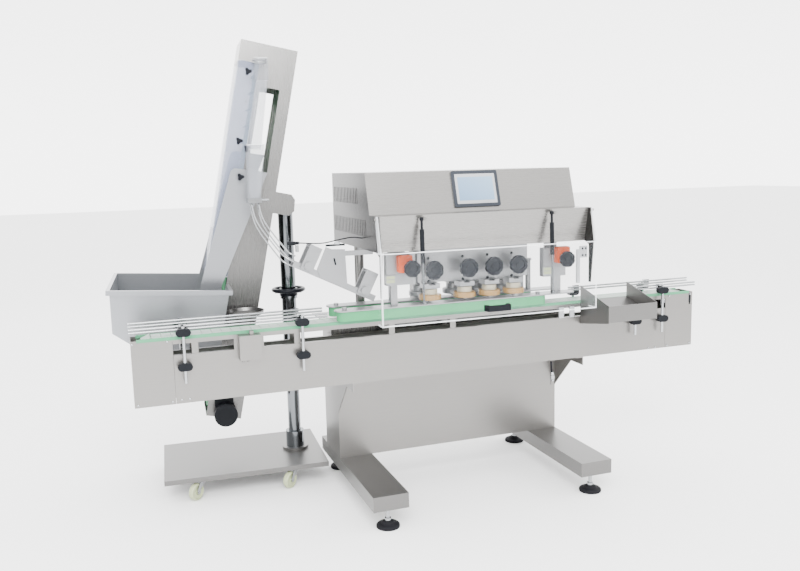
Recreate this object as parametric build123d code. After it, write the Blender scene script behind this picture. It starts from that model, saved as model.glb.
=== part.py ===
from build123d import *
import math
import os

# Bottle capping machine with a cap elevator, in millimetres.
# Machine frame: x along the conveyor, y = 0 at the conveyor's front face, z up from the floor.
# Everything moves at the end to the middle of the base of the whole object.

os.makedirs("parts", exist_ok=True)

# Driving dimensions: general
sheet = 2.0
touch_gap = 0.3
running_gap = 0.05
bolt_radius = 3.0

# Driving dimensions: conveyor
conveyor_length = 2550.0
conveyor_width = 100.0
deck_height = 815.0
panel_bottom = deck_height - 258.0
middle_panel_top = deck_height - 67.0
end_cover_length = 152.0
rail_height = 24.0
rail_flange = 12.0
strip_height = 12.0
strip_lip = 2.0
chain_width = 82.5
chain_top = deck_height + 5.0
slat_pitch = 38.1
slat_thickness = 4.0
slat_split = 1.6
spine_thickness = 3.0
spine_width = 24.0
sprocket_radius = 46.0
sprocket_inset = 76.0
sprocket_shaft_radius = 10.0
sprocket_teeth = 8
bearing_plate_thickness = 5.0
rail_support_width = 25.0
rail_support_places = (-1040.0, -640.0, -240.0, 36.0, 620.0, 1040.0)

# Driving dimensions: guide rails beside the bottles
guide_rod_radius = 4.0
guide_post_radius = 6.0
near_rod_heights = (deck_height + 31.0, deck_height + 43.0)
far_rod_heights = (deck_height + 39.0, deck_height + 51.0)
near_rod_y = 6.0
far_rod_y = 96.0
left_rods = (-1279.0, -512.0)
right_near_rods = (925.0, 1290.0)
right_far_rods = (655.0, 1316.0)
near_post_places = (-1083.0, -624.0, 938.0, 1085.0)
far_post_places = (-1083.0, -624.0, 700.0, 1085.0)
post_stand_off = 26.0
post_top = deck_height + 47.0
post_bottom = deck_height - 174.0
clamp_width = 56.0
clamp_height = 30.0
clamp_depth = 22.0
lower_clamp_height = deck_height - 110.0
upper_clamp_height = deck_height + 23.0

# Driving dimensions: cabinet and feet
cabinet_width = 1094.0
cabinet_centre_x = 131.0
cabinet_front = 250.0
cabinet_depth = 235.0
cabinet_top = deck_height - 74.0
beam_width = 150.0
beam_height = 62.0
beam_length = 815.0
beam_front = -232.0
beam_wall = 3.0
floor_gap = 88.0
foot_inset = 50.0
foot_pad_radius = 48.0
foot_pad_height = 26.0
foot_stem_radius = 8.0
gusset_drop = 190.0
gusset_lip = 38.0
transport_wheel_radius = 25.0
transport_wheel_width = 26.0
transport_wheel_offset = 30.0

# Driving dimensions: hood and head
hood_width = 940.0
hood_centre_x = 131.0
hood_back = 505.0
hood_bottom = deck_height + 290.0
hood_top = hood_bottom + 311.0
hood_top_front = 2.0
hood_slope_foot = -48.0
hood_ledge_front = -155.0
hood_ledge_height = hood_bottom + 143.0
hood_lip_y = -127.0
wing_front = -196.0
wing_strip_bottom = hood_bottom - 175.0
wing_strip_width = 18.0
louvre_width = 9.0
louvre_pitch = 23.5
bezel_width = 209.0
bezel_height = 154.0
bezel_thickness = 9.0
bezel_radius = 6.0
panel_body_width = 190.0
panel_body_height = 135.0
panel_body_depth = 34.0
bezel_centre_x = 137.0
bezel_along_slope = 82.0
head_plate_width = 500.0
head_plate_centre_x = 145.0
head_plate_front = 5.0
head_plate_thickness = 12.0
head_plate_bottom = deck_height + 138.0
head_plate_top = head_plate_bottom + 140.0
bottle_line = 50.0
spindle_places = (-71.0, 86.0, 202.0, 318.0)
spindle_offset = 60.0
disc_radius = 47.5
disc_thickness = 23.0
disc_bottom = deck_height + 69.0
disc_edge = 5.0
hub_radius = 31.0
hub_height = 22.0
spindle_shaft_radius = 8.0
knob_radius = 40.0
small_knob_radius = 35.0
knob_height = head_plate_bottom + 59.0
knob_reach = 58.0
knob_seat = 30.0
knob_shaft_radius = 6.0
belt_left = -488.0
belt_right = 612.0
belt_offset = 64.0
belt_plate_width = 72.0
belt_plate_thickness = 5.0
belt_height = 38.0
belt_thickness = 5.0
belt_run = (-446.0, 436.0)
belt_plate_top = deck_height + 56.0
pulley_radius = 27.0
lower_beam_height = 40.0
lower_beam_front = 128.0
head_column_size = 60.0
guide_post_left = (-312.0, 205.0, 20.0)
guide_post_right = (457.0, 12.5, deck_height + 189.0)
hanger_places = (-200.0, 420.0)

# Driving dimensions: height adjusters at both ends of the head
adjuster_front = -20.0
adjuster_depth = 34.0
adjuster_blocks = (((-264.0, -138.0), (head_plate_bottom + 2.0, head_plate_bottom + 134.0)),
                   ((461.0, 572.0), (head_plate_bottom - 10.0, head_plate_bottom + 116.0)))
indicator_boxes = (((-220.0, -160.0), (knob_height - 4.0, knob_height + 68.0)),
                   ((515.0, 577.0), (knob_height - 10.0, knob_height + 62.0)))
indicator_depth = 28.0
adjuster_feet = ((-246.0, -218.0), (504.0, 548.0))
adjuster_knobs = ((-171.0, knob_height + 14.0), (549.0, knob_height + 9.0))
adjuster_knob_reach = 45.0

# Driving dimensions: guard door and its two gas stays
guard_width = 960.0
guard_front = -206.0
guard_thickness = 6.0
guard_return = 52.0
guard_top = hood_bottom + 3.0
guard_bottom = deck_height + 7.0
guard_pivot_y = -162.0
guard_pivot_z = hood_bottom + 132.0
guard_pin_radius = 5.0
guard_pin_length = 18.0
stay_places = (-165.0, 413.0)
stay_stud_y = -172.0
stay_stud_z = hood_bottom + 128.0
stay_foot_y = -184.0
stay_foot_z = guard_bottom + 80.0
stay_stud_radius = 5.0
stay_tube_radius = 9.0
stay_tube_wall = 2.0
stay_tube_start = 40.0
stay_tube_length = 134.0
stay_rod_radius = 4.0
stay_eye_radius = 7.0
stay_eye_width = 12.0
handle_length = 112.0
handle_reach = 32.0
handle_bar = 12.0
handle_height = 24.0
handle_x = 141.0
handle_z = guard_bottom + 42.0

# Driving dimensions: exit tray
tray_left = 660.0
tray_right = 905.0
tray_reach = 225.0
tray_back_top = deck_height + 73.0
tray_front_top = deck_height + 11.0
tray_floor_back = deck_height + 6.0
tray_floor_front = deck_height - 58.0
tray_back_bottom = deck_height - 101.0
tray_front_bottom = deck_height - 64.0
tray_seat = -(strip_lip + touch_gap)

# Driving dimensions: cap track over the bottles
track_y = 65.0
track_top_x = -640.0
track_top_z = deck_height + 238.0
track_slope = 26.5
track_length = 376.0
track_width = 46.0
track_wall = 4.0
track_side = 26.0
track_plate_width = 52.0
track_plate_height = 104.0
track_plate_thickness = 10.0
track_plate_low = 9.0
track_holder_places = (57.0, 318.5)
track_knob_radius = 17.0

# Driving dimensions: rods, clamp and chutes that bring caps to the track
cap_path_top = 1300.0
cap_path_bottom = track_top_z + 15.5
cap_drop = cap_path_top - cap_path_bottom
cap_path = ((-724.0, 368.0, cap_path_top), (-721.0, 322.0, cap_path_top - 0.2937 * cap_drop),
            (-706.0, 255.0, cap_path_top - 0.4924 * cap_drop), (-688.0, 178.0, cap_path_top - 0.6652 * cap_drop),
            (-672.0, 108.0, cap_path_top - 0.8121 * cap_drop), (-658.0, 67.5, cap_path_top - 0.9158 * cap_drop),
            (-621.0, 65.0, cap_path_bottom))
cap_rod_radius = 3.0
cap_rod_spread = 15.0
clamp_thickness = 20.0
chute_wall = 2.5
chute_gap = 7.0
chute_lap = 22.0
chute_joint = (102.0, -196.0, 1526.0)
upper_chute_end = 54.0
lower_chute_end = 46.0
outlet_sides = (124.0, 182.0)
outlet_heights = (1826.0, 1920.0)
outlet_reach = 52.0

# Driving dimensions: sensor cable from the track's sensor to the hood
sensor_cable_radius = 2.5
sensor_cable_path = ((-602.0, 65.0, hood_bottom + 39.0), (-552.0, 66.0, hood_bottom + 34.0),
                     (-500.0, 68.0, hood_bottom + 32.0), (-455.0, 70.0, hood_bottom + 40.0),
                     (-410.0, 71.0, hood_bottom + 47.0), (-372.0, 74.0, hood_bottom + 51.0),
                     (-339.8, 60.0, hood_bottom + 45.0))

# Driving dimensions: cap elevator, in its own frame, turned and stood behind the conveyor
unit_x = -793.0
unit_y = 622.0
unit_turn = -3.5
base_length = 730.0
base_depth = 500.0
base_height = 105.0
base_plate = 3.0
base_lip = 22.0
caster_x = 208.0
caster_y = 215.0
caster_trail = 34.0
caster_trail_turn = 225.0
wheel_radius = 37.5
wheel_width = 24.0
axle_radius = 5.0
stem_radius = 6.0
stem_length = 9.0
boss_bottom = 90.0
fork_wall = 3.0
fork_gap = 2.0
crown_radius = 24.0
mast_x = 250.0
mast_radius = 29.0
mast_sleeve_radius = 34.0
mast_top = 1160.0
sleeve_bottom = 640.0
sleeve_top = 1318.0
bracket_bolt_z = 1278.0
bracket_thickness = 4.0
flange_radius = 62.0
flange_thickness = 12.0
collar_radius = 43.0
collar_height = 76.0
handwheel_height = 878.0
handwheel_radius = 70.0
handwheel_tube = 9.0
lean_angle = 11.5
frame_foot_x = -165.0
frame_foot_z = 340.0
frame_width = 157.0
frame_depth = 220.0
frame_height = 1678.0
frame_wall = 2.5
window_left = 18.0
window_right = 104.0
window_bottom = 1130.0
window_top = 1496.0
channel_width = 93.0
channel_wall = 5.0
channel_bottom = 640.0
steel_cap_length = 88.0
seam_inset = 29.0
skirt_reach = 140.0
skirt_foot = (-64.0, 938.0)
elevator_belt_width = 180.0
elevator_belt_thickness = 3.0
elevator_roller_radius = 66.0
roller_x = 66.0
elevator_roller_low = 84.0
elevator_roller_high = 1592.0
cleat_height = 12.0
cleat_thickness = 4.0
cleat_count = 46
hopper_left = -528.0
hopper_depth = 600.0
hopper_left_bottom = 785.0
hopper_rim_left = 966.0
hopper_rim_tilt = 3.6
hopper_floor_slope = 36.6
hopper_rim_width = 13.0
hopper_rim_height = 20.0
motor_radius = 52.0
motor_length = 46.0
motor_place = (-80.0, 350.0)
gear_thickness = 14.0
pan_radius = 84.0
pan_depth = 16.0
pan_place = (24.0, -222.0, 830.0)


def box(x_range, y_range, z_range):
    size = [high - low for low, high in (x_range, y_range, z_range)]
    centre = [(high + low) / 2 for low, high in (x_range, y_range, z_range)]
    return Pos(*centre) * Box(*size)


def rod(start, end, radius):
    """A round bar from one point to another."""
    direction = Vector(*end) - Vector(*start)
    plane = Plane(origin=start, z_dir=direction)
    return extrude(plane * Circle(radius), direction.length)


def panel_x(points, x, thickness):
    """A flat plate with its outline given in (y, z), from x towards +x."""
    face = Plane.YZ.offset(x) * make_face(Polyline(*points, close=True))
    return extrude(face, thickness, dir=(1, 0, 0))


def panel_y(points, y, thickness):
    """A flat plate with its outline given in (x, z), from y towards +y."""
    outline = [(px, y, pz) for px, pz in points]
    return extrude(make_face(Polyline(*outline, close=True)), thickness, dir=(0, 1, 0))


def folded_x(points, thickness, x_range):
    """A sheet folded along x: a path in (y, z) thickened to its left and drawn out along x."""
    return panel_x(thickened(points, thickness), x_range[0], x_range[1] - x_range[0])


def thickened(points, thickness):
    """The closed outline of an open path and the same path offset to its left."""
    offset = []
    for i, point in enumerate(points):
        before = direction_of(points[i - 1], point) if i else None
        after = direction_of(point, points[i + 1]) if i + 1 < len(points) else None
        first = before or after
        last = after or before
        normal = (-(first[1] + last[1]), first[0] + last[0])
        length = math.hypot(*normal)
        half = (normal[0] / length * -first[1]) + (normal[1] / length * first[0])
        reach = thickness / half / length
        offset.append((point[0] + normal[0] * reach, point[1] + normal[1] * reach))
    return list(points) + offset[::-1]


def direction_of(start, end):
    length = math.hypot(end[0] - start[0], end[1] - start[1])
    return ((end[0] - start[0]) / length, (end[1] - start[1]) / length)


def star(radius, lobes, thickness):
    """A lobed grip lying on z = 0: a disc with a ring of scoops and rounded rims."""
    body = extrude(Circle(radius), thickness)
    scoop = radius * math.pi / lobes * 0.36
    for i in range(lobes):
        body -= Rot(0, 0, 360 * i / lobes) * Pos(radius + scoop * 0.45, 0) * extrude(Circle(scoop), thickness)
    return body


def knob(radius, reach, seat):
    """A star knob on its shaft: the shaft starts at the seat depth and points to -y."""
    grip_thickness = radius * 0.42
    grip = Pos(0, 0, reach) * star(radius, 8, grip_thickness)
    neck_radius = radius * 0.5
    neck = Pos(0, 0, reach - radius * 0.4) * extrude(Circle(neck_radius), radius * 0.4)
    dish = Pos(0, 0, reach + grip_thickness) * Cylinder(radius * 0.62, grip_thickness * 0.5)
    boss = Pos(0, 0, reach + grip_thickness * 0.75) * extrude(Circle(radius * 0.34), grip_thickness * 0.2)
    shaft = Pos(0, 0, -seat) * extrude(Circle(knob_shaft_radius), seat + reach)
    return Rot(90, 0, 0) * (grip + neck - dish + boss + shaft)


def stadium_loop(start, end, radius, thickness):
    """The outline face of a belt around two pulleys, in the x-y plane, and what lies inside it."""
    length = end - start
    centre = (start + end) / 2
    outer = Pos(centre, 0) * SlotCenterToCenter(length, 2 * (radius + thickness))
    inner = Pos(centre, 0) * SlotCenterToCenter(length, 2 * radius)
    return outer - inner


unit_location = Pos(unit_x, unit_y, 0) * Rot(0, 0, unit_turn)
lean = Pos(frame_foot_x, 0, frame_foot_z) * Rot(0, lean_angle, 0)
caster_places = [(x, y) for x in (-caster_x, caster_x) for y in (-caster_y, caster_y)]

nodes = {}


def add(name, *solids):
    shapes = []
    for solid in solids:
        shapes.extend(solid.solids())
    nodes[name] = shapes


def loop_place(distance, half_run, radius):
    """Where something sits, and its turn, at a distance round a loop that lies along x."""
    arc = math.pi * radius
    straight = 2 * half_run
    distance %= 2 * (straight + arc)
    if distance < straight:
        return distance - half_run, radius, 0.0
    distance -= straight
    if distance < arc:
        turn = distance / radius
        return half_run + radius * math.sin(turn), radius * math.cos(turn), math.degrees(turn)
    distance -= arc
    if distance < straight:
        return half_run - distance, -radius, 180.0
    turn = math.pi + (distance - straight) / radius
    return -half_run + radius * math.sin(turn), radius * math.cos(turn), math.degrees(turn)


half_length = conveyor_length / 2
left_cover_end = -half_length + end_cover_length
right_cover_start = half_length - end_cover_length
seam = 1.0
chain_mid_y = conveyor_width / 2


# Conveyor side panels, end covers, rails and wear strips
def side_panel():
    """A folded channel whose back lies on y = 0, flanges turned to +y."""
    flange = 15.0
    path = [(flange, middle_panel_top), (0, middle_panel_top), (0, panel_bottom), (flange, panel_bottom)]
    return folded_x(path, sheet, (left_cover_end + seam, right_cover_start - seam))


def mirrored_y(shape):
    return Pos(0, conveyor_width, 0) * mirror(shape, Plane.XZ)


def end_cover():
    """The left cover: one sheet folded round the end in plan, open on top for the chain."""
    path = [(left_cover_end, conveyor_width), (-half_length, conveyor_width), (-half_length, 0), (left_cover_end, 0)]
    face = make_face(Polyline(*[(x, y, panel_bottom) for x, y in thickened(path, sheet)], close=True))
    return extrude(face, deck_height - panel_bottom, dir=(0, 0, 1))


def right_end_cover():
    slot = box((half_length - 19, half_length - 11), (-1, sheet + 1), (deck_height - 60, deck_height - 20))
    return mirror(end_cover(), Plane.YZ) - slot


rail_bottom = deck_height - rail_height


def rail():
    """A folded rail under the wear strip, with its flange turned in."""
    path = [(rail_flange, rail_bottom), (0, rail_bottom), (0, deck_height)]
    return folded_x([(y, z) for y, z in path[::-1]], sheet, (left_cover_end + seam, right_cover_start - seam))


def rail_support(x):
    bar_y = (sheet, sheet + 4)
    bar = box((x - rail_support_width / 2, x + rail_support_width / 2), bar_y, (middle_panel_top, rail_bottom))
    foot = box((x - rail_support_width / 2, x + rail_support_width / 2), (sheet, rail_flange), (rail_bottom - 4, rail_bottom))
    return bar + foot


sprocket_x = half_length - sprocket_inset
core_inner = sprocket_radius
core_outer = sprocket_radius + spine_thickness
slat_outer = core_outer + slat_thickness
sprocket_z = chain_top - slat_outer


def bearing_plates():
    """Plates that carry the sprocket shafts, bolted inside the panels."""
    plates = []
    half = 45.0
    for x in (-sprocket_x, sprocket_x):
        for y in (sheet, conveyor_width - sheet - bearing_plate_thickness):
            plate = box((x - half, x + half), (y, y + bearing_plate_thickness), (panel_bottom + 60, rail_bottom - 2))
            bore = Pos(x, y, sprocket_z) * Rot(-90, 0, 0) * extrude(
                Circle(sprocket_shaft_radius + running_gap), bearing_plate_thickness)
            plates.append(plate - bore)
    return plates


def wear_strip():
    """A cap of plastic that sits over the sheet's top edge."""
    inner = sheet + 4
    top = chain_top
    low = top - strip_height
    path = [(-strip_lip, low), (-strip_lip, top), (inner, top), (inner, low), (sheet, low), (sheet, deck_height),
            (0, deck_height), (0, low)]
    inset = 22.0
    return panel_x(path, -half_length + inset, conveyor_length - 2 * inset)


front_panel = side_panel()
left_cover = end_cover()
add("conveyor_panels", front_panel, mirrored_y(front_panel))
add("end_covers", left_cover, right_end_cover())
rails = [rail()] + [rail_support(x) for x in rail_support_places]
add("conveyor_rails", *rails, *[mirrored_y(piece) for piece in rails], *bearing_plates())
add("wear_strips", wear_strip(), mirrored_y(wear_strip()))


# Slat chain round the two sprockets
def chain_spine():
    outer = Pos(0, sprocket_z) * SlotCenterToCenter(2 * sprocket_x, 2 * core_outer)
    inner = Pos(0, sprocket_z) * SlotCenterToCenter(2 * sprocket_x, 2 * core_inner)
    face = Plane.XZ.offset(-chain_mid_y - spine_width / 2) * (outer - inner)
    return extrude(face, spine_width, dir=(0, -1, 0))


def slats():
    loop = 2 * (2 * sprocket_x + math.pi * core_outer)
    count = round(loop / slat_pitch)
    slat = Pos(0, 0, slat_thickness / 2) * Box(slat_pitch - slat_split, chain_width, slat_thickness)
    placed = []
    for i in range(count):
        x, z, turn = loop_place((i + 0.5) * loop / count, sprocket_x, core_outer)
        placed.append(Pos(x, chain_mid_y, sprocket_z + z) * Rot(0, turn, 0) * slat)
    return placed


def sprocket(x):
    """A toothed drum with its shaft, lying along y."""
    drum_width = spine_width + 30
    wheel = extrude(Circle(core_inner - touch_gap), drum_width / 2, both=True)
    tooth = Pos(core_inner, 0, 0) * Box(5, 9, 7)
    for i in range(sprocket_teeth):
        for side in (-1, 1):
            wheel += Rot(0, 0, 360 * i / sprocket_teeth) * Pos(0, 0, side * (spine_width / 2 + 6)) * tooth
    shaft = extrude(Circle(sprocket_shaft_radius), conveyor_width / 2 - sheet - 1, both=True)
    return Pos(x, chain_mid_y, sprocket_z) * Rot(90, 0, 0) * (wheel + shaft)


add("slat_chain", chain_spine(), *slats())
add("tail_roller", sprocket(-sprocket_x))
add("drive_roller", sprocket(sprocket_x))


# Guide rods beside the bottles, their posts and clamps
def guide_rods():
    rods = []
    for z in near_rod_heights:
        rods.append(rod((left_rods[0], near_rod_y, z), (left_rods[1], near_rod_y, z), guide_rod_radius))
        rods.append(rod((right_near_rods[0], near_rod_y, z), (right_near_rods[1], near_rod_y, z), guide_rod_radius))
    for z in far_rod_heights:
        rods.append(rod((left_rods[0], far_rod_y, z), (left_rods[1], far_rod_y, z), guide_rod_radius))
        rods.append(rod((right_far_rods[0], far_rod_y, z), (right_far_rods[1], far_rod_y, z), guide_rod_radius))
    return rods


def clamp_body(x, y, z):
    """An oval clamp with bores for the post and for the arm that crosses it."""
    outline = Pos(0, 0) * SlotOverall(clamp_width, clamp_height)
    body = Pos(x, y + clamp_depth / 2, z) * Rot(90, 0, 0) * extrude(outline, clamp_depth)
    body -= Pos(x, y, z) * Cylinder(guide_post_radius, clamp_height + 2)
    return body


def rail_holder(x, side, rod_y, heights):
    """One post outside a panel, with a lower and an upper clamp. side is -1 in front, +1 behind."""
    panel_face = 0 if side < 0 else conveyor_width
    post_y = panel_face + side * post_stand_off
    post = rod((x, post_y, post_bottom), (x, post_y, post_top), guide_post_radius)
    inner = panel_face + side * (post_stand_off - clamp_depth / 2)
    stub = rod((x, inner, lower_clamp_height), (x, panel_face, lower_clamp_height), 8)
    block_low = heights[0] - 8
    block_high = heights[1] + 8
    near = rod_y + side * guide_rod_radius
    block = box((x - 14, x + 14), sorted((near + side * 9, rod_y)), (block_low, block_high))
    for z in heights:
        block -= rod((x - 20, rod_y, z), (x + 20, rod_y, z), guide_rod_radius)
    arm = box((x - 7, x + 7), sorted((near + side * 9, inner)), (block_low, block_low + 12))
    steel = [post, stub, block + arm]
    clamps = [clamp_body(x, post_y, lower_clamp_height), clamp_body(x, post_y, upper_clamp_height)]
    return steel, clamps


holder_steel = []
holder_clamps = []
for place in near_post_places:
    steel, clamps = rail_holder(place, -1, near_rod_y, near_rod_heights)
    holder_steel += steel
    holder_clamps += clamps
for place in far_post_places:
    steel, clamps = rail_holder(place, 1, far_rod_y, far_rod_heights)
    holder_steel += steel
    holder_clamps += clamps
add("guide_rails", *guide_rods(), *holder_steel)
add("rail_clamps", *holder_clamps)


# Bottle sensor box on the front of the conveyor
def sensor_box():
    left, right = -876.0, -792.0
    low, high = deck_height - 106, deck_height - 9
    front = -42.0
    cover = box((left, right), (front, 0), (low, high)) - box(
        (left + sheet, right - sheet), (front + sheet, 1), (low + sheet, high - sheet))
    ears = [box((x0, x0 + 16), (-sheet, 0), (low + 8, high)) for x0 in (left - 16, right)]
    gland = rod((left + 14, -20, low), (left + 14, -20, low - 10), 5)
    second = rod((left + 32, -20, low), (left + 32, -20, low - 10), 5)
    eye = box((-833, -818), (-26, -strip_lip - 2), (high, high + 14))
    return cover + ears[0] + ears[1], gland, second, eye


add("sensor_box", *sensor_box())


# Exit tray on the front of the conveyor
def exit_tray():
    wall_points = [(tray_seat, tray_back_top), (-tray_reach, tray_front_top), (-tray_reach, tray_front_bottom),
                   (tray_seat, tray_back_bottom)]
    left = panel_x(wall_points, tray_left, sheet)
    right = panel_x(wall_points, tray_right - sheet, sheet)
    floor_path = [(tray_seat - sheet / 2, tray_floor_back), (-tray_reach + sheet, tray_floor_front), (-tray_reach + sheet, tray_front_top)]
    floor = folded_x(floor_path, sheet, (tray_left, tray_right))
    skirt = folded_x([(-tray_reach + sheet, tray_floor_front), (tray_seat - sheet, tray_back_bottom)], sheet, (tray_left, tray_right))
    hook = folded_x([(tray_seat, tray_back_bottom), (tray_seat, tray_floor_back)], sheet, (tray_left, tray_right))
    return left + right + floor + skirt + hook


add("exit_tray", exit_tray())

# Cabinet on two foot beams
cabinet_left = cabinet_centre_x - cabinet_width / 2
cabinet_right = cabinet_centre_x + cabinet_width / 2
cabinet_back = cabinet_front + cabinet_depth
beam_bottom = floor_gap
beam_top = beam_bottom + beam_height


def cabinet():
    """A sheet box with an open underside, and two brackets that reach forward to the conveyor."""
    outer = box((cabinet_left, cabinet_right), (cabinet_front, cabinet_back), (beam_top, cabinet_top))
    inner = box((cabinet_left + sheet, cabinet_right - sheet), (cabinet_front + sheet, cabinet_back - sheet),
                (beam_top - 1, cabinet_top - sheet))
    body = outer - inner
    reach = conveyor_width
    low = panel_bottom - gusset_lip
    flange = 22.0
    points = [(reach, low), (reach, panel_bottom), (cabinet_front, panel_bottom), (cabinet_front, panel_bottom - gusset_drop)]
    pad = 40.0
    gussets = []
    for x, inward in ((cabinet_left, 1), (cabinet_right, -1)):
        web = panel_x(points, x if inward > 0 else x - 3, 3)
        seat_x = sorted((x, x + inward * pad))
        seat = box(seat_x, (0, cabinet_front), (panel_bottom - 3, panel_bottom))
        tip = panel_x([(0, low), (0, panel_bottom), (reach, panel_bottom), (reach, low)], x if inward > 0 else x - 3, 3)
        back = box(sorted((x, x + inward * flange)), (cabinet_front - 3, cabinet_front),
                   (panel_bottom - gusset_drop, panel_bottom))
        gussets.append(web + seat + tip + back)
    top_bracket = []
    for x in (cabinet_left + 60, cabinet_right - 60):
        top_bracket.append(box((x - 20, x + 20), (conveyor_width, cabinet_front), (panel_bottom + 60, panel_bottom + 100)))
    return [body + gussets[0] + gussets[1] + top_bracket[0] + top_bracket[1]]


def foot_beam(x):
    """An inverted channel with closed ends and two nut plates."""
    back = beam_front + beam_length
    outer = box((x - beam_width / 2, x + beam_width / 2), (beam_front, back), (beam_bottom, beam_top))
    inner = box((x - beam_width / 2 + beam_wall, x + beam_width / 2 - beam_wall), (beam_front + beam_wall, back - beam_wall),
                (beam_bottom - 1, beam_top - beam_wall))
    beam = outer - inner
    for y in (beam_front + foot_inset, back - foot_inset):
        beam += box((x - beam_width / 2, x + beam_width / 2), (y - 30, y + 30), (beam_bottom, beam_bottom + 8))
    for y in (beam_front + foot_inset, back - foot_inset):
        beam -= Pos(x, y, beam_bottom + 4) * Cylinder(foot_stem_radius + touch_gap, 10)
    return beam


beam_places = (cabinet_left + beam_width / 2, cabinet_right - beam_width / 2)
foot_rows = (beam_front + foot_inset, beam_front + beam_length - foot_inset)
foot_places = [(x, y) for x in beam_places for y in foot_rows]


def foot_pad():
    """A moulded pad: a stepped dome on a flat base."""
    points = [(0, 0), (foot_pad_radius, 0), (foot_pad_radius, 9), (foot_pad_radius - 4, 13), (foot_pad_radius * 0.6, 16),
              (foot_pad_radius * 0.42, foot_pad_height), (0, foot_pad_height)]
    return revolve(Plane.XZ * make_face(Polyline(*points, close=True)), Axis.Z)


def foot_stem():
    """A threaded stem with its collar and lock nut."""
    nut_height = 10.0
    stem = Pos(0, 0, foot_pad_height) * extrude(Circle(foot_stem_radius), beam_bottom + 30 - foot_pad_height)
    collar = Pos(0, 0, foot_pad_height) * extrude(Circle(13), 12)
    nut = Pos(0, 0, beam_bottom - nut_height) * extrude(RegularPolygon(14, 6), nut_height)
    return stem + collar + nut


add("cabinet", *cabinet())
add("foot_beams", *[foot_beam(x) for x in beam_places])
add("levelling_pads", *[Pos(x, y, 0) * foot_pad() for x, y in foot_places])
add("levelling_stems", *[Pos(x, y, 0) * foot_stem() for x, y in foot_places])


def transport_wheel(x, y):
    """A nylon wheel held up inside a beam on a cross pin."""
    lift = 22.0
    centre_z = beam_bottom - lift + transport_wheel_radius
    wheel = Pos(x - transport_wheel_offset, y, centre_z) * Rot(0, 90, 0) * Cylinder(
        transport_wheel_radius, transport_wheel_width)
    pin = rod((x - beam_width / 2 + beam_wall, y, centre_z), (x + beam_width / 2 - beam_wall, y, centre_z), 5)
    return wheel + pin


wheel_rows = (foot_rows[0] + 70, foot_rows[1] - 70)
add("transport_wheels", *[transport_wheel(x, y) for x in beam_places for y in wheel_rows])

# Hood over the head
hood_left = hood_centre_x - hood_width / 2
hood_right = hood_centre_x + hood_width / 2
slope_length = math.hypot(hood_top_front - hood_slope_foot, hood_top - hood_ledge_height)
slope_turn = math.degrees(math.atan2(hood_top_front - hood_slope_foot, hood_top - hood_ledge_height))


def on_slope(distance, depth, x):
    """The place at a distance down the sloped panel; its local z points out of the hood."""
    share = distance / slope_length
    y = hood_top_front + (hood_slope_foot - hood_top_front) * share
    z = hood_top + (hood_ledge_height - hood_top) * share
    return Pos(x, y, z) * Rot(90 - slope_turn, 0, 0) * Pos(0, 0, depth)


def hood():
    outline = [(hood_back, hood_bottom), (hood_back, hood_top), (hood_top_front, hood_top), (hood_slope_foot, hood_ledge_height),
               (hood_ledge_front, hood_ledge_height), (hood_lip_y, hood_bottom)]
    solid = panel_x(outline, hood_left, hood_width)
    inner_path = thickened(outline + [outline[0]], sheet)
    inner_outline = inner_path[len(outline) + 1:][::-1][:-1]
    inner_outline[0] = (hood_back - sheet, hood_bottom + sheet)
    solid -= panel_x(inner_outline, hood_left + sheet, hood_width - 2 * sheet)
    for first_y, count, low, high in ((112, 16, 1288, 1354), (2, 21, 1158, 1226)):
        for i in range(count):
            y = first_y + i * louvre_pitch
            solid -= box((hood_left - 1, hood_left + sheet + 1), (y, y + louvre_width), (low, high))
    cut_out = on_slope(bezel_along_slope, 0, bezel_centre_x) * Box(
        panel_body_width + 2 * touch_gap, panel_body_height + 2 * touch_gap, 12)
    return solid - cut_out


def wing(x):
    """A side plate that carries the guard's hinge and runs down beside it as a narrow strip."""
    points = [(hood_ledge_front, hood_ledge_height), (hood_ledge_front - 17, hood_ledge_height),
              (hood_ledge_front - 19, hood_ledge_height - 22), (wing_front, hood_bottom + 12), (wing_front, hood_bottom - 20),
              (wing_front + wing_strip_width, wing_strip_bottom), (wing_front + 2 * wing_strip_width, wing_strip_bottom),
              (wing_front + 2 * wing_strip_width, hood_bottom - 14), (hood_lip_y, hood_bottom), (hood_lip_y, hood_bottom + 30)]
    outward = -1 if x < hood_centre_x else 1
    face = x if outward < 0 else x + sheet
    pin = rod((face, guard_pivot_y, guard_pivot_z), (face + outward * guard_pin_length, guard_pivot_y, guard_pivot_z),
              guard_pin_radius)
    return panel_x(points, x, sheet) + pin


def touch_panel():
    outline = RectangleRounded(bezel_width, bezel_height, bezel_radius)
    rim = 13.0
    face_recess = 2.0
    body = extrude(outline, bezel_thickness)
    body -= Pos(0, 0, bezel_thickness - face_recess) * extrude(Rectangle(bezel_width - 2 * rim, bezel_height - 2 * rim), 5)
    body += Pos(0, 0, -panel_body_depth) * extrude(Rectangle(panel_body_width, panel_body_height), panel_body_depth)
    return on_slope(bezel_along_slope, 0, bezel_centre_x) * body


def stay_studs():
    """Ball studs on the hood that the stays hang from."""
    studs = []
    for x in stay_places:
        slope = (hood_ledge_height - stay_stud_z) / (hood_ledge_height - hood_bottom)
        face_y = hood_ledge_front + slope * (hood_lip_y - hood_ledge_front)
        side = x + stay_eye_width / 2 + touch_gap
        studs.append(rod((side + 8, face_y, stay_stud_z), (side + 8, stay_stud_y - 6, stay_stud_z), 6)
                     + rod((side, stay_stud_y, stay_stud_z), (side + 8, stay_stud_y, stay_stud_z), stay_stud_radius))
    return studs


add("hood", hood(), wing(hood_left), wing(hood_right - sheet), *stay_studs())
add("touch_panel", touch_panel())

# Head frame between the cabinet and the hood
lower_beam_top = cabinet_top + lower_beam_height


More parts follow.
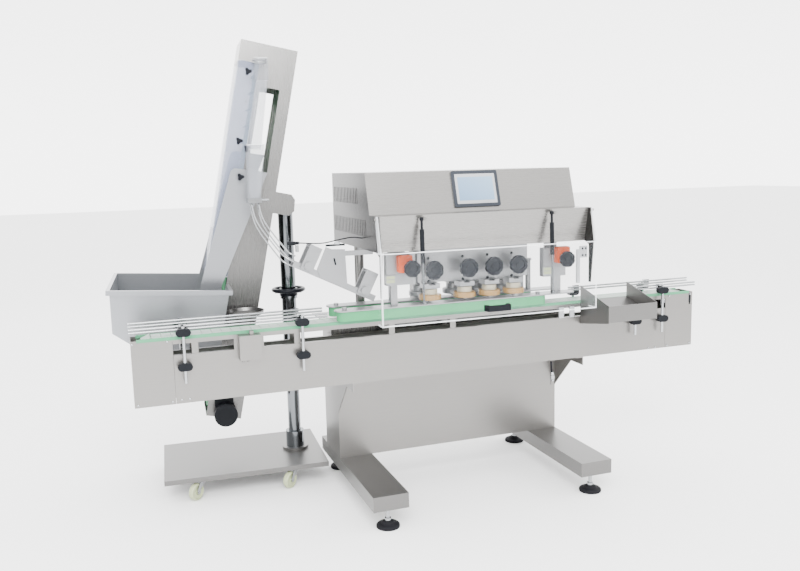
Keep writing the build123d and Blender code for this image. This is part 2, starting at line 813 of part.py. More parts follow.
def head_frame():
    """A channel across the cabinet's top, two columns up to the hood, and guide posts."""
    left, right = cabinet_left - 52, cabinet_right - 30
    path = [(lower_beam_front + 60, cabinet_top), (lower_beam_front, cabinet_top), (lower_beam_front, lower_beam_top),
            (cabinet_back - 20, lower_beam_top)]
    channel = folded_x(path, -4, (left, right))
    columns = []
    for x in (hood_centre_x - 130, hood_centre_x + 130):
        columns.append(box((x - head_column_size / 2, x + head_column_size / 2),
                           (cabinet_front + 40, cabinet_front + 40 + head_column_size), (lower_beam_top, hood_bottom)))
    webs = [box((x - 6, x + 6), (lower_beam_front + 4, cabinet_back - 30), (cabinet_top, lower_beam_top - 4))
            for x in (hood_centre_x - 300, hood_centre_x, hood_centre_x + 300)]
    post_x, post_y, post_radius = guide_post_left
    post = rod((post_x, post_y, lower_beam_top), (post_x, post_y, hood_bottom), post_radius)
    arms = []
    for x in (hood_centre_x - 130, hood_centre_x + 130):
        arms.append(box((x - 20, x + 20), (head_plate_front + head_plate_thickness, cabinet_front + 40), (head_plate_top - 33, head_plate_top)))
    return [channel + webs[0] + webs[1] + webs[2], *columns, post, *arms]


add("head_frame", *head_frame())

# Head plate, spindle housings and the rear row of spindles
plate_left = head_plate_centre_x - head_plate_width / 2
plate_right = head_plate_centre_x + head_plate_width / 2
front_spindle_y = bottle_line - spindle_offset
rear_spindle_y = bottle_line + spindle_offset
housing_bottom = disc_bottom + disc_thickness + hub_height + 4
plate_back = head_plate_front + head_plate_thickness


def spindle():
    """A cap gripping disc with its hub and shaft, standing on z = 0 at the disc's underside."""
    disc = extrude(Circle(disc_radius), disc_thickness)
    disc = fillet(disc.edges().filter_by(GeomType.CIRCLE), disc_edge)
    hub = Pos(0, 0, disc_thickness) * extrude(Circle(hub_radius), hub_height)
    shaft_top = head_plate_bottom - 8 - disc_bottom
    shaft = extrude(Circle(spindle_shaft_radius), shaft_top)
    washer = Pos(0, 0, -4) * extrude(Circle(12), 4)
    nut = Pos(0, 0, -11) * extrude(RegularPolygon(9, 6), 7)
    return disc + hub + shaft + washer + nut


def housings():
    """The head's bearing blocks: one slab for each row, bored for its shafts, behind the plate."""
    pieces = []
    plate = box((plate_left, plate_right), (head_plate_front, plate_back), (head_plate_bottom, head_plate_top))
    for x in spindle_places:
        plate -= rod((x, head_plate_front - 1, knob_height), (x, plate_back + 1, knob_height), knob_shaft_radius + running_gap)
    pieces.append(plate)
    half = 34.0
    for x in spindle_places:
        block = box((x - half, x + half), (front_spindle_y - 30, plate_back), (housing_bottom, head_plate_bottom))
        block += box((x - 20, x + 20), (plate_back, rear_spindle_y + 25), (head_plate_bottom - 2, head_plate_bottom + 60))
        block += box((x - half, x + half), (rear_spindle_y - 30, rear_spindle_y + 30), (housing_bottom, head_plate_bottom + 60))
        block += box((x - half, x + half), (plate_back, bottle_line - 8), (head_plate_bottom - 2, head_plate_top - 20))
        for y in (front_spindle_y, rear_spindle_y):
            block -= Pos(x, y, housing_bottom - 1) * extrude(Circle(spindle_shaft_radius + running_gap), 200)
        block -= box((x - 14, x + 14), (front_spindle_y - 31, head_plate_front), (head_plate_bottom - 6, head_plate_bottom + 1))
        knob_bore = rod((x, head_plate_front, knob_height), (x, plate_back + 24, knob_height), knob_shaft_radius + running_gap)
        pieces.append(block - knob_bore)
    return pieces


add("head_plate", *housings())
rear_row = [Pos(x, rear_spindle_y, disc_bottom) * spindle() for x in spindle_places]
for index, x in enumerate(spindle_places, 1):
    add(f"spindle_{index}", Pos(x, front_spindle_y, disc_bottom) * spindle())
    add(f"spindle_knob_{index}", Pos(x, head_plate_front, knob_height) * knob(knob_radius, knob_reach, knob_seat))


# Height adjusters at both ends of the head
def adjuster(index):
    """A block hung from the hood's floor, with a window plate and a foot on the belt frame."""
    (left, right), (low, high) = adjuster_blocks[index]
    back = adjuster_front + adjuster_depth
    knob_x, knob_z = adjuster_knobs[index]
    block = box((left, right), (adjuster_front, back), (low, high))
    block -= rod((knob_x, adjuster_front, knob_z), (knob_x, back + 1, knob_z), knob_shaft_radius + running_gap)
    middle = (left + right) / 2
    hanger = box((middle - 30, middle + 30), (back, back + 10), (low + 30, hood_bottom))
    foot_left, foot_right = adjuster_feet[index]
    foot = box((foot_left, foot_right), (adjuster_front + 2, adjuster_front + 14), (belt_plate_top, low))
    label_left = foot_left - 8
    window = box((label_left, label_left + 46), (adjuster_front - 3, adjuster_front), (low + 8, low + 44))
    return block + foot + window, hanger


def indicator(index):
    """A position indicator: a rounded housing with a bore for the knob's shaft."""
    (left, right), (low, high) = indicator_boxes[index]
    knob_x, knob_z = adjuster_knobs[index]
    centre = ((left + right) / 2, adjuster_front - indicator_depth / 2, (low + high) / 2)
    body = Pos(*centre) * Box(right - left, indicator_depth, high - low)
    body = fillet(body.edges().filter_by(Axis.Y), 8)
    return body - rod((knob_x, adjuster_front - indicator_depth - 1, knob_z), (knob_x, adjuster_front + 1, knob_z),
                      knob_shaft_radius + running_gap)


add("adjuster_blocks", *adjuster(0), *adjuster(1))
add("position_indicators", indicator(0), indicator(1))
for index, (x, z) in enumerate(adjuster_knobs, 1):
    place = Pos(x, adjuster_front, z)
    add(f"adjuster_knob_{index}", place * knob(small_knob_radius, adjuster_knob_reach, adjuster_depth - 4))

# Side gripper belts, one in front of the bottles and one behind
belt_units = (bottle_line - belt_offset, bottle_line + belt_offset)
belt_low = belt_plate_top - belt_plate_thickness - 1 - belt_height


def belt_frame(y):
    """A top plate with a bar under it and a pulley at each end of the belt."""
    plate_middle = (belt_left + belt_right) / 2
    plate = Pos(plate_middle, y, belt_plate_top - belt_plate_thickness) * extrude(
        SlotOverall(belt_right - belt_left, belt_plate_width), belt_plate_thickness)
    bar_reach = pulley_radius + 8
    bar = box((belt_run[0] + bar_reach, belt_run[1] - bar_reach), (y - 14, y + 14),
              (belt_low + 4, belt_plate_top - belt_plate_thickness))
    frame = plate + bar
    for x in belt_run:
        frame += Pos(x, y, belt_low) * extrude(Circle(pulley_radius - touch_gap), belt_height)
        frame += Pos(x, y, belt_low) * extrude(Circle(10), belt_plate_top + 8 - belt_low)
    return frame


def gripper_belt(y):
    return Pos(0, y, belt_low) * extrude(stadium_loop(*belt_run, pulley_radius, belt_thickness), belt_height)


def rear_hangers():
    """Flat bars and a chrome post that stand on the rear belt frame."""
    y = belt_units[1]
    bars = [box((x - 12, x + 12), (y - 5, y + 5), (belt_plate_top, hood_bottom)) for x in hanger_places]
    post_x, post_radius, post_height = guide_post_right
    post = rod((post_x, y, belt_plate_top), (post_x, y, post_height), post_radius)
    cap = rod((post_x, y, post_height), (post_x, y, post_height + 10), post_radius + 4)
    return [*bars, post + cap]


add("belt_frames", *[belt_frame(y) for y in belt_units], *rear_hangers())
add("gripper_belts", *[gripper_belt(y) for y in belt_units])

# Guard door, hinged on the pins of the wings
guard_left = hood_centre_x - guard_width / 2
guard_right = hood_centre_x + guard_width / 2
guard_inner = guard_front + guard_thickness
guard_return_back = guard_front + guard_return


def guard():
    """A clear door folded round both ends, with an arm on each return up to the hinge pin."""
    path = [(guard_left, guard_return_back), (guard_left, guard_front), (guard_right, guard_front), (guard_right, guard_return_back)]
    outline = [(x, y, guard_bottom) for x, y in thickened(path, guard_thickness)]
    door = extrude(make_face(Polyline(*outline, close=True)), guard_top - guard_bottom, dir=(0, 0, 1))
    ear_points = [(guard_front, guard_top - 2), (guard_front + 30, guard_top - 2),
                  (guard_pivot_y + 10, guard_pivot_z - 8), (guard_pivot_y + 10, guard_pivot_z + 8),
                  (guard_pivot_y + 4, guard_pivot_z + 12), (guard_pivot_y - 6, guard_pivot_z + 12)]
    for x in (guard_left, guard_right - guard_thickness):
        door += panel_x(ear_points, x, guard_thickness)
        door -= rod((x - 1, guard_pivot_y, guard_pivot_z), (x + guard_thickness + 1, guard_pivot_y, guard_pivot_z),
                    guard_pin_radius + running_gap)
    return door


def guard_studs():
    """Studs inside the door that face the feet of the gas stays."""
    studs = []
    for x in stay_places:
        side = x + stay_eye_width / 2 + touch_gap
        base = rod((side + 8, guard_inner, stay_foot_z), (side + 8, stay_foot_y + 6, stay_foot_z), 6)
        studs.append(base + rod((side, stay_foot_y, stay_foot_z), (side + 8, stay_foot_y, stay_foot_z), stay_stud_radius))
    return studs


def guard_handle():
    """A bridge handle with sloped ends, outline in (x, y)."""
    half = handle_length / 2
    outline = [(-half, 0), (-half + 7, -handle_reach), (half - 7, -handle_reach), (half, 0), (half - 15, 0),
               (half - 18, handle_bar - handle_reach), (18 - half, handle_bar - handle_reach), (15 - half, 0)]
    bridge = extrude(make_face(Polyline(*outline, close=True)), handle_height)
    return Pos(handle_x, guard_front, handle_z - handle_height / 2) * bridge


add("guard", guard(), *guard_studs())
add("guard_handle", guard_handle())

# Gas stays: each tube hangs from a stud on the hood, its rod reaches the door
stay_direction = Vector(0, stay_foot_y - stay_stud_y, stay_foot_z - stay_stud_z)
stay_length = stay_direction.length
stay_tube_end = stay_tube_start + stay_tube_length


def on_stay(x, shape):
    """Moves a shape drawn along +z, with z = 0 at the stud, on to a stay's axis."""
    plane = Plane(origin=(x, stay_stud_y, stay_stud_z), x_dir=(1, 0, 0), z_dir=stay_direction)
    return plane.location * shape


def eye(distance):
    ring = Pos(0, 0, distance) * Rot(0, 90, 0) * Cylinder(stay_eye_radius, stay_eye_width)
    return ring


def stay_tube():
    gland = 8.0
    inner = stay_tube_radius - stay_tube_wall
    tube = Pos(0, 0, stay_tube_start) * extrude(Circle(stay_tube_radius), stay_tube_length)
    tube -= Pos(0, 0, stay_tube_start + stay_tube_wall) * extrude(Circle(inner), stay_tube_length - stay_tube_wall - gland)
    tube -= Pos(0, 0, stay_tube_start + stay_tube_length / 2) * extrude(Circle(stay_rod_radius + running_gap), stay_tube_length)
    neck = extrude(Circle(stay_rod_radius + 1), stay_tube_start)
    return tube + neck + eye(0)


def stay_rod():
    overlap = 44.0
    start = stay_tube_end - overlap
    shaft = Pos(0, 0, start) * extrude(Circle(stay_rod_radius), stay_length - start)
    return shaft + eye(stay_length)


add("gas_spring_tubes", *[on_stay(x, stay_tube()) for x in stay_places])
add("gas_spring_rods", *[on_stay(x, stay_rod()) for x in stay_places])


# Cap track that slopes down to the first spindle
def on_track(shape):
    """Moves a shape drawn along +x to the track, whose underside starts at its upper end."""
    return Pos(track_top_x, track_y, track_top_z) * Rot(0, track_slope, 0) * shape


def track_chute():
    half = track_width / 2
    return folded_x([(-half, track_side), (-half, 0), (half, 0), (half, track_side)], track_wall, (0, track_length))


def track_holder(along):
    """Two cheek plates astride the track, joined by rods, with a round knob in front."""
    half = track_width / 2
    x_range = (along - track_plate_width / 2, along + track_plate_width / 2)
    z_range = (track_plate_low, track_plate_low + track_plate_height)
    front = box(x_range, (-half - track_plate_thickness, -half), z_range)
    back = box(x_range, (half, half + track_plate_thickness), z_range)
    holder = front + back
    for x, z in ((along - 14, z_range[1] - 12), (along + 14, z_range[1] - 12), (along, track_side + 24)):
        holder += rod((x, -half, z), (x, half, z), 5)
    knob_z = track_plate_low + track_knob_radius + 2
    face = -half - track_plate_thickness
    button = rod((along, face, knob_z), (along, face - 9, knob_z), track_knob_radius)
    return [holder, button]


def track_side_plate():
    """The wide plate between the two holders, flush on the track's front wall."""
    outline = [(-527, -50), (-414, -106), (-420, 58), (-476, 61), (-500, 71), (-540, -17)]
    points = [(x, track_top_z + rise) for x, rise in outline]
    wall_face = track_y - track_width / 2
    return panel_y(points, wall_face - track_wall, track_wall)


def track_arm():
    """A flat bar from the side plate back to the guide post."""
    post_x, post_y, post_radius = guide_post_left
    low, high = hood_bottom - 22, hood_bottom - 2
    wall_face = track_y - track_width / 2
    along = box((-440, post_x + 12), (wall_face, wall_face + 8), (low, high))
    return along + box((post_x - 12, post_x + 12), (wall_face, post_y - post_radius - touch_gap), (low, high))


holders = [piece for along in track_holder_places for piece in track_holder(along)]
add("cap_track", on_track(track_chute()), *[on_track(piece) for piece in holders], track_side_plate(), track_arm())


# Clear chutes: the lower one stands in the clamp, the upper one rides with the elevator
def tapered(low_place, low_size, high_place, high_size):
    """A square prism lofted between two level squares."""
    bottom = Pos(*low_place) * Rectangle(low_size, low_size)
    top = Pos(*high_place) * Rectangle(high_size, high_size)
    return loft([bottom.face(), top.face()])


outlet_middle = ((outlet_sides[0] + outlet_sides[1]) / 2, -frame_depth / 2 - outlet_reach / 2 - 1, outlet_heights[0])
chute_lap_share = chute_lap / (outlet_middle[2] - chute_joint[2])
chute_mouth = [low + (high - low) * chute_lap_share for low, high in zip(chute_joint, outlet_middle)]
chute_mouth_place = (unit_location * Pos(*chute_mouth)).position


def lower_chute_skin(inset):
    """The lower chute's outer form, drawn in by an inset."""
    mouth = (chute_mouth_place.X, chute_mouth_place.Y, chute_mouth_place.Z)
    mouth_size = upper_chute_end + 2 * (chute_gap + chute_wall)
    return tapered(cap_path[0], lower_chute_end - 2 * inset, mouth, mouth_size - 2 * inset)


add("lower_chute", lower_chute_skin(0) - lower_chute_skin(chute_wall))


# Curved rods that lead caps from the chute to the track
def turn(a, b, c):
    first = Vector(*b) - Vector(*a)
    return first.get_angle(Vector(*c) - Vector(*b))


def corner_radii(points):
    """The largest even radii for a bent path: 0.45 of each corner's shorter run."""
    corners = zip(points, points[1:], points[2:])
    return [0.45 * min(math.dist(a, b), math.dist(b, c)) / math.tan(math.radians(turn(a, b, c) / 2)) for a, b, c in corners]


def cap_guide_rods():
    """Four rods kept parallel along one bent path."""
    first_run = Vector(*cap_path[1]) - Vector(*cap_path[0])
    top = Vector(*cap_path[0]) - first_run.normalized() * cap_rod_spread
    points = [(top.X, top.Y, top.Z), *cap_path[1:]]
    path = FilletPolyline(*points, radius=corner_radii(points))
    start = Plane(origin=top, x_dir=(1, 0, 0), z_dir=first_run)
    corners = [(dx * cap_rod_spread, dy * cap_rod_spread) for dx in (-1, 1) for dy in (-1, 1)]
    sections = [start * Pos(*corner) * Circle(cap_rod_radius) for corner in corners]
    floor = box((cap_path[0][0] - 60, cap_path[0][0] + 60), (cap_path[0][1] - 60, cap_path[0][1] + 60),
                (cap_path[0][2] - touch_gap, cap_path[0][2] + 40))
    track_end = on_track(box((-touch_gap, 60), (-40, 40), (-40, 60)))
    return [sweep(section, path=path) - floor - track_end for section in sections]


def chute_clamp():
    """A block round the chute's lower end that carries the tops of the rods, with a lever."""
    x, y, z = cap_path[0]
    half = cap_rod_spread + 14
    body = box((x - half, x + half), (y - half, y + half), (z, z + clamp_thickness))
    body -= lower_chute_skin(-touch_gap)
    lever = rod((x + half, y, z + clamp_thickness / 2), (x + half + 34, y, z + clamp_thickness / 2), 6)
    return body + lever


add("cap_guide_rods", *cap_guide_rods(), chute_clamp())


# Elevator stand: a plate on four swivel castors with a telescopic mast
def base_tray():
    """A plate with its four edges folded down, and a boss under each corner for a swivel stem."""
    half_x, half_y = base_length / 2, base_depth / 2
    outer = box((-half_x, half_x), (-half_y, half_y), (base_height - base_lip, base_height))
    inner = box((-half_x + base_plate, half_x - base_plate), (-half_y + base_plate, half_y - base_plate),
                (base_height - base_lip - 1, base_height - base_plate))
    tray = outer - inner
    under = base_height - base_plate
    for x, y in caster_places:
        tray += Pos(x, y, boss_bottom) * extrude(Circle(stem_radius + 8), under - boss_bottom)
        tray -= Pos(x, y, boss_bottom - 1) * extrude(Circle(stem_radius + running_gap), stem_length + 2)
    flange = Pos(mast_x, 0, base_height) * extrude(Circle(flange_radius), flange_thickness)
    return tray + flange


def mast():
    """The fixed lower tube with its collar."""
    foot = base_height + flange_thickness
    tube = Pos(mast_x, 0, foot) * extrude(Circle(mast_radius), mast_top - foot)
    tube -= Pos(mast_x, 0, foot) * extrude(Circle(mast_radius - 4), mast_top - foot)
    collar = Pos(mast_x, 0, foot) * extrude(Circle(collar_radius) - Circle(mast_radius - 1), collar_height)
    return tube + collar


def mast_sleeve():
    """The lifting sleeve: a closed tube with a seat for the handwheel and a cross tube at its head."""
    sleeve = Pos(mast_x, 0, sleeve_bottom) * extrude(Circle(mast_sleeve_radius), sleeve_top - sleeve_bottom)
    sleeve += Pos(mast_x, 0, handwheel_height - 40) * extrude(Circle(mast_sleeve_radius + 6), 12)
    sleeve += rod((mast_x, -frame_depth / 2, bracket_bolt_z), (mast_x, frame_depth / 2, bracket_bolt_z), 20)
    bore = sleeve_top - 8 - sleeve_bottom
    return sleeve - Pos(mast_x, 0, sleeve_bottom) * extrude(Circle(mast_radius + running_gap), bore)


def handwheel():
    """A ring with three spokes and a hub that turns on the sleeve."""
    hub_low = handwheel_height - 28 + touch_gap
    hub = Pos(mast_x, 0, hub_low) * extrude(Circle(mast_sleeve_radius + 8) - Circle(mast_sleeve_radius + running_gap), 34)
    ring = Pos(mast_x, 0, handwheel_height) * Torus(handwheel_radius, handwheel_tube)
    wheel = hub + ring
    for i in range(3):
        spoke = Pos(0, 0, handwheel_height - 10) * Rot(0, 0, 120 * i + 200) * Pos(mast_sleeve_radius + 4, 0, 0) * Rot(0, 80, 0)
        wheel += Pos(mast_x, 0, 0) * spoke * extrude(Circle(7), handwheel_radius - mast_sleeve_radius - 4)
    return wheel


def caster_fork():
    """A crown on a swivel stem, two cheeks and the axle; the axle trails along +x."""
    inner = wheel_width / 2 + fork_gap
    crown_top = boss_bottom - touch_gap
    crown = Pos(0, 0, crown_top - 5) * extrude(Circle(crown_radius), 5)
    stem = Pos(0, 0, crown_top) * extrude(Circle(stem_radius), stem_length)
    points = [(-18, crown_top - 2), (18, crown_top - 2), (caster_trail + 10, wheel_radius + 8), (caster_trail + 8, wheel_radius - 8),
              (caster_trail - 8, wheel_radius - 8), (caster_trail - 12, wheel_radius + 8)]
    fork = crown + stem + panel_y(points, inner, fork_wall) + panel_y(points, -inner - fork_wall, fork_wall)
    reach = inner + fork_wall + 3
    return fork + rod((caster_trail, -reach, wheel_radius), (caster_trail, reach, wheel_radius), axle_radius)


def caster_wheel():
    """A nylon wheel with rounded shoulders, drawn round the y axis and moved to its axle."""
    half = wheel_width / 2
    bore = axle_radius + running_gap
    hub = half + fork_gap - touch_gap
    points = [(bore, -hub), (axle_radius + 6, -hub), (axle_radius + 6, -half + 4), (wheel_radius - 10, -half + 4),
              (wheel_radius - 8, -half), (wheel_radius - 3, -half), (wheel_radius, -half + 5), (wheel_radius, half - 5),
              (wheel_radius - 3, half), (wheel_radius - 8, half), (wheel_radius - 10, half - 4),
              (axle_radius + 6, half - 4), (axle_radius + 6, hub), (bore, hub)]
    wheel = revolve(Plane.XY * make_face(Polyline(*points, close=True)), Axis.Y)
    return Pos(caster_trail, 0, wheel_radius) * wheel


add("elevator_base", unit_location * base_tray())
add("lower_column", unit_location * mast())
add("upper_column", unit_location * mast_sleeve())
add("handwheel", unit_location * handwheel())
for index, (x, y) in enumerate(caster_places, 1):
    place = unit_location * Pos(x, y, 0) * Rot(0, 0, caster_trail_turn)
    add(f"caster_fork_{index}", place * caster_fork())
    add(f"caster_wheel_{index}", place * caster_wheel())


# Leaning elevator body, drawn with z along its length and x across it
def lean_box(x_range, depth_range, z_range):
    return lean * box(x_range, depth_range, z_range)


half_depth = frame_depth / 2
cap_bottom = frame_height - steel_cap_length


def folded_z(path, thickness, z_range):
    """A sheet folded in plan and drawn up along z."""
    outline = [(x, y, z_range[0]) for x, y in thickened(path, thickness)]
    return extrude(make_face(Polyline(*outline, close=True)), z_range[1] - z_range[0], dir=(0, 0, 1))


def elevator_frame():
    """A deep channel, open towards the cleats, with a window through both sides and a cap on top."""
    path = [(0, -half_depth), (frame_width, -half_depth), (frame_width, half_depth), (0, half_depth)]
    body = folded_z(path, frame_wall, (0, frame_height))
    body += box((0, frame_width), (-half_depth, half_depth), (0, frame_wall))
    cap_path_plan = [(0, half_depth), (-channel_width, half_depth), (-channel_width, -half_depth), (0, -half_depth)]
    body += folded_z(cap_path_plan, frame_wall, (cap_bottom, frame_height))
    body += box((-channel_width, frame_width), (-half_depth, half_depth), (frame_height - frame_wall, frame_height))
    body -= box((window_left, window_right), (-half_depth - 1, half_depth + 1), (window_bottom, window_top))
    seam_x = frame_width - seam_inset
    body -= box((seam_x, seam_x + 1.5), (-half_depth - 1, -half_depth + 1), (-1, frame_height + 1))
    return lean * body


def roller(z):
    """A belt roller whose shaft reaches both walls of the frame."""
    half = elevator_belt_width / 2
    drum = rod((roller_x, -half, z), (roller_x, half, z), elevator_roller_radius - touch_gap)
    reach = half_depth - frame_wall
    return lean * (drum + rod((roller_x, -reach, z), (roller_x, reach, z), 12))


def bracket_cheek(depth):
    """The plate that ties the frame to the mast's cross tube."""
    points = [(143, 1352), (267, 1325), (282, 1301), (276, 1250), (251, 1231), (123, 1256)]
    return panel_y(points, depth, bracket_thickness)


def drip_pan():
    """A round pan on a short arm in front of the frame."""
    x, depth, rim_z = pan_place
    points = [(0, rim_z - pan_depth), (pan_radius - 8, rim_z - pan_depth), (pan_radius, rim_z), (pan_radius - 3, rim_z),
              (pan_radius - 10, rim_z - pan_depth + 3), (0, rim_z - pan_depth + 3)]
    pan = Pos(x, depth, 0) * revolve(Plane.XZ * make_face(Polyline(*points, close=True)), Axis.Z)
    arm = box((x - 14, x + 14), (depth + pan_radius - 20, -half_depth), (rim_z - pan_depth - 5, rim_z - pan_depth))
    return pan + arm


def cleated_belt():
    """The belt and its cleats, drawn as one section and extruded across the frame."""
    middle = (elevator_roller_low + elevator_roller_high) / 2
    half_run = (elevator_roller_high - elevator_roller_low) / 2
    outer_radius = elevator_roller_radius + elevator_belt_thickness
    section = stadium_loop(-half_run, half_run, elevator_roller_radius, elevator_belt_thickness)
    length = 4 * half_run + 2 * math.pi * outer_radius
    for i in range(cleat_count):
        x, y, turned = loop_place((i + 0.5) * length / cleat_count, half_run, outer_radius)
        section += Pos(x, y) * Rot(0, 0, -turned) * Pos(0, cleat_height / 2 - 0.5) * Rectangle(cleat_thickness, cleat_height + 1)
    loop = extrude(Plane.XZ * section, elevator_belt_width / 2, both=True)
    return lean * Pos(roller_x, 0, middle) * Rot(0, -90, 0) * loop


def channel_cover():
    path = [(0, half_depth), (-channel_width, half_depth), (-channel_width, -half_depth), (0, -half_depth)]
    return lean * folded_z(path, channel_wall, (channel_bottom, cap_bottom))


def frame_edge(z):
    """Where the frame's open edge is, across the unit, at a height."""
    return frame_foot_x + (z - frame_foot_z) * math.tan(math.radians(lean_angle))


def hopper():
    """A folded bin open to the belt, with a lipped rim and two skirts beside the belt."""
    slope = math.tan(math.radians(hopper_floor_slope))
    tan_lean = math.tan(math.radians(lean_angle))
    floor_x = (frame_foot_x + (hopper_left_bottom + hopper_left * slope - frame_foot_z) * tan_lean) / (1 + slope * tan_lean)
    floor_z = hopper_left_bottom - slope * (floor_x - hopper_left)
    drop = math.tan(math.radians(hopper_rim_tilt))
    rim_x = frame_edge(hopper_rim_left - drop * 485)
    rim_z = hopper_rim_left - drop * (rim_x - hopper_left)
    path = [(hopper_left, hopper_rim_left), (hopper_left, hopper_left_bottom), (floor_x, floor_z), (rim_x, rim_z)]
    half = hopper_depth / 2
    bin_shell = panel_y(thickened(path, sheet), -half, hopper_depth)
    for depth in (-half, half - sheet):
        bin_shell += panel_y(path, depth, sheet)
    tilt = Pos(hopper_left, 0, hopper_rim_left) * Rot(0, hopper_rim_tilt, 0)
    length = (rim_x - hopper_left) / math.cos(math.radians(hopper_rim_tilt))
    edge = hopper_rim_width
    lip = box((-edge, length + edge), (-half - edge, half + edge), (-sheet, 0))
    lip -= box((sheet, length - sheet), (sheet - half, half - sheet), (-sheet - 1, 1))
    skirt = box((-edge, length + edge), (-half - edge, half + edge), (-hopper_rim_height, 0))
    skirt -= box((sheet - edge, length + edge - sheet), (sheet - half - edge, half + edge - sheet), (-hopper_rim_height - 1, 1))
    bin_shell += tilt * (lip + skirt)
    bin_shell -= tilt * box((-2 * edge, length + 2 * edge), (-half - 2 * edge, half + 2 * edge), (0, hopper_rim_height))
    bin_shell -= lean_box((-20, frame_width + 40), (-half_depth - touch_gap, half_depth + touch_gap), (-100, frame_height))
    return bin_shell


def belt_skirt(side, top_right, top_left):
    """A side plate beside the belt, with a flange that meets the frame."""
    face = side * skirt_reach
    low_right = (frame_edge(700) - 2, 700)
    points = [(-232, 700), low_right, skirt_foot, top_right, top_left]
    plate = panel_y(points, face if side < 0 else face - frame_wall, frame_wall)
    corner = plate.edges().filter_by(Axis.Y).sort_by_distance((top_left[0], face, top_left[1]))[0]
    plate = fillet([corner], 26)
    flange_path = [skirt_foot, top_right]
    start = face + frame_wall if side < 0 else half_depth
    flange = panel_y(thickened(flange_path, frame_wall), start, skirt_reach - half_depth - frame_wall)
    return plate + flange


def outlet_box():
    """A clear box on the frame's front that takes caps off the belt's top and drops them in the chute."""
    low, high = outlet_heights
    left, right = outlet_sides
    front = -half_depth - outlet_reach
    shell = box((left, right), (front, -half_depth), (low, high))
    inner = box((left + chute_wall, right - chute_wall), (front + chute_wall, -half_depth + 1), (low - 1, high - chute_wall))
    return shell - inner


def upper_chute():
    size = outlet_reach - 2
    outer = tapered(chute_joint, upper_chute_end, outlet_middle, size)
    inner = tapered(chute_joint, upper_chute_end - 2 * chute_wall, outlet_middle, size - 2 * chute_wall)
    return outlet_box() + (outer - inner)


def elevator_motor():
    """A gear housing on the frame's front with the motor below the roller's shaft."""
    shaft = lean * Pos(roller_x, 0, elevator_roller_low)
    shaft_place = shaft.position
    motor_x, motor_z = motor_place
    rise = math.hypot(shaft_place.X - motor_x, shaft_place.Z - motor_z)
    tilt = math.degrees(math.atan2(shaft_place.X - motor_x, shaft_place.Z - motor_z))
    centre = ((shaft_place.X + motor_x) / 2, -half_depth, (shaft_place.Z + motor_z) / 2)
    housing = extrude(Plane.XZ * Rot(0, 0, 90 - tilt) * SlotCenterToCenter(rise, 84), gear_thickness)
    housing = Pos(*centre) * housing
    front = -half_depth - gear_thickness
    body = rod((motor_x, front, motor_z), (motor_x, front - motor_length, motor_z), motor_radius - 4)
    cover = rod((motor_x, front - motor_length + 14, motor_z), (motor_x, front - motor_length - 6, motor_z), motor_radius)
    return housing + body + cover


frame_parts = [elevator_frame(), roller(elevator_roller_low), roller(elevator_roller_high),
               bracket_cheek(-half_depth - bracket_thickness), bracket_cheek(half_depth), drip_pan()]
add("elevator_frame", *[unit_location * piece for piece in frame_parts])
add("cleated_belt", unit_location * cleated_belt())
add("channel_cover", unit_location * channel_cover())
skirts = [belt_skirt(-1, (160, 1425), (5, 1452)), belt_skirt(1, (180, 1508), (30, 1533))]
add("hopper", unit_location * (hopper() + skirts[0] + skirts[1]))
add("elevator_motor", unit_location * elevator_motor())
add("upper_chute", unit_location * upper_chute())


# Cables held along their way: runs joined by the largest arcs that fit
def cable(name, points, radius):
    radii = corner_radii(points)
    path = FilletPolyline(*points, radius=radii)
    start = Plane(origin=points[0], z_dir=Vector(*points[1]) - Vector(*points[0]))
    tube = sweep(start * Circle(radius), path=path)
    section = math.pi * radius ** 2 * path.length
    print(name, "radii", [round(r) for r in radii], "length", round(path.length), "volume ratio", round(tube.volume / section, 4))
    return tube


sensor_cable = cable("sensor_cable", sensor_cable_path, sensor_cable_radius)
add("sensor_cable", sensor_cable)

# Everything moves to the middle of the base of the whole object
nodes["head_plate"] = nodes["head_plate"] + [solid for spindle_shape in rear_row for solid in spindle_shape.solids()]
everything = Compound([solid for solids in nodes.values() for solid in solids])
bounds = everything.bounding_box()
shift = Vector(-(bounds.min.X + bounds.max.X) / 2, -(bounds.min.Y + bounds.max.Y) / 2, -bounds.min.Z)

for name, solids in nodes.items():
    moved = Compound([solid.moved(Location(shift)) for solid in solids])
    export_step(moved, f"parts/{name}.step")
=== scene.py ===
import math

import bmesh
import bpy
from mathutils import Matrix, Vector


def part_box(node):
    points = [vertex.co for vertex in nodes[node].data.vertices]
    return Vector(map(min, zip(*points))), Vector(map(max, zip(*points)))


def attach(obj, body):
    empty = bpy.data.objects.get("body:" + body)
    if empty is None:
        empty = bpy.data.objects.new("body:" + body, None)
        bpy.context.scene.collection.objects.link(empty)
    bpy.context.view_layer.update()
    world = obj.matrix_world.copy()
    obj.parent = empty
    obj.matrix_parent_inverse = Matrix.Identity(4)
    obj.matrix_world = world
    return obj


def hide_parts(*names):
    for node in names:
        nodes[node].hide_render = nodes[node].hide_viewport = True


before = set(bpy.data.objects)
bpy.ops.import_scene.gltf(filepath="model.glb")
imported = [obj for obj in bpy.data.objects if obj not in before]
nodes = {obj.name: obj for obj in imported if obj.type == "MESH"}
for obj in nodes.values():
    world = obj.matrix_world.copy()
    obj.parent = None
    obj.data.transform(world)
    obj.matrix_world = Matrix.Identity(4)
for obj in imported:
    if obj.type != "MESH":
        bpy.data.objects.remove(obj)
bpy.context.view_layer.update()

# Places are in millimetres from the conveyor's front face, the middle of its length and the floor
FRONT = Vector((0.0, -1.0, 0.0))
BACK = Vector((0.0, 1.0, 0.0))
RIGHT = Vector((1.0, 0.0, 0.0))
UP = Vector((0.0, 0.0, 1.0))
covers_low, covers_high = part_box("end_covers")
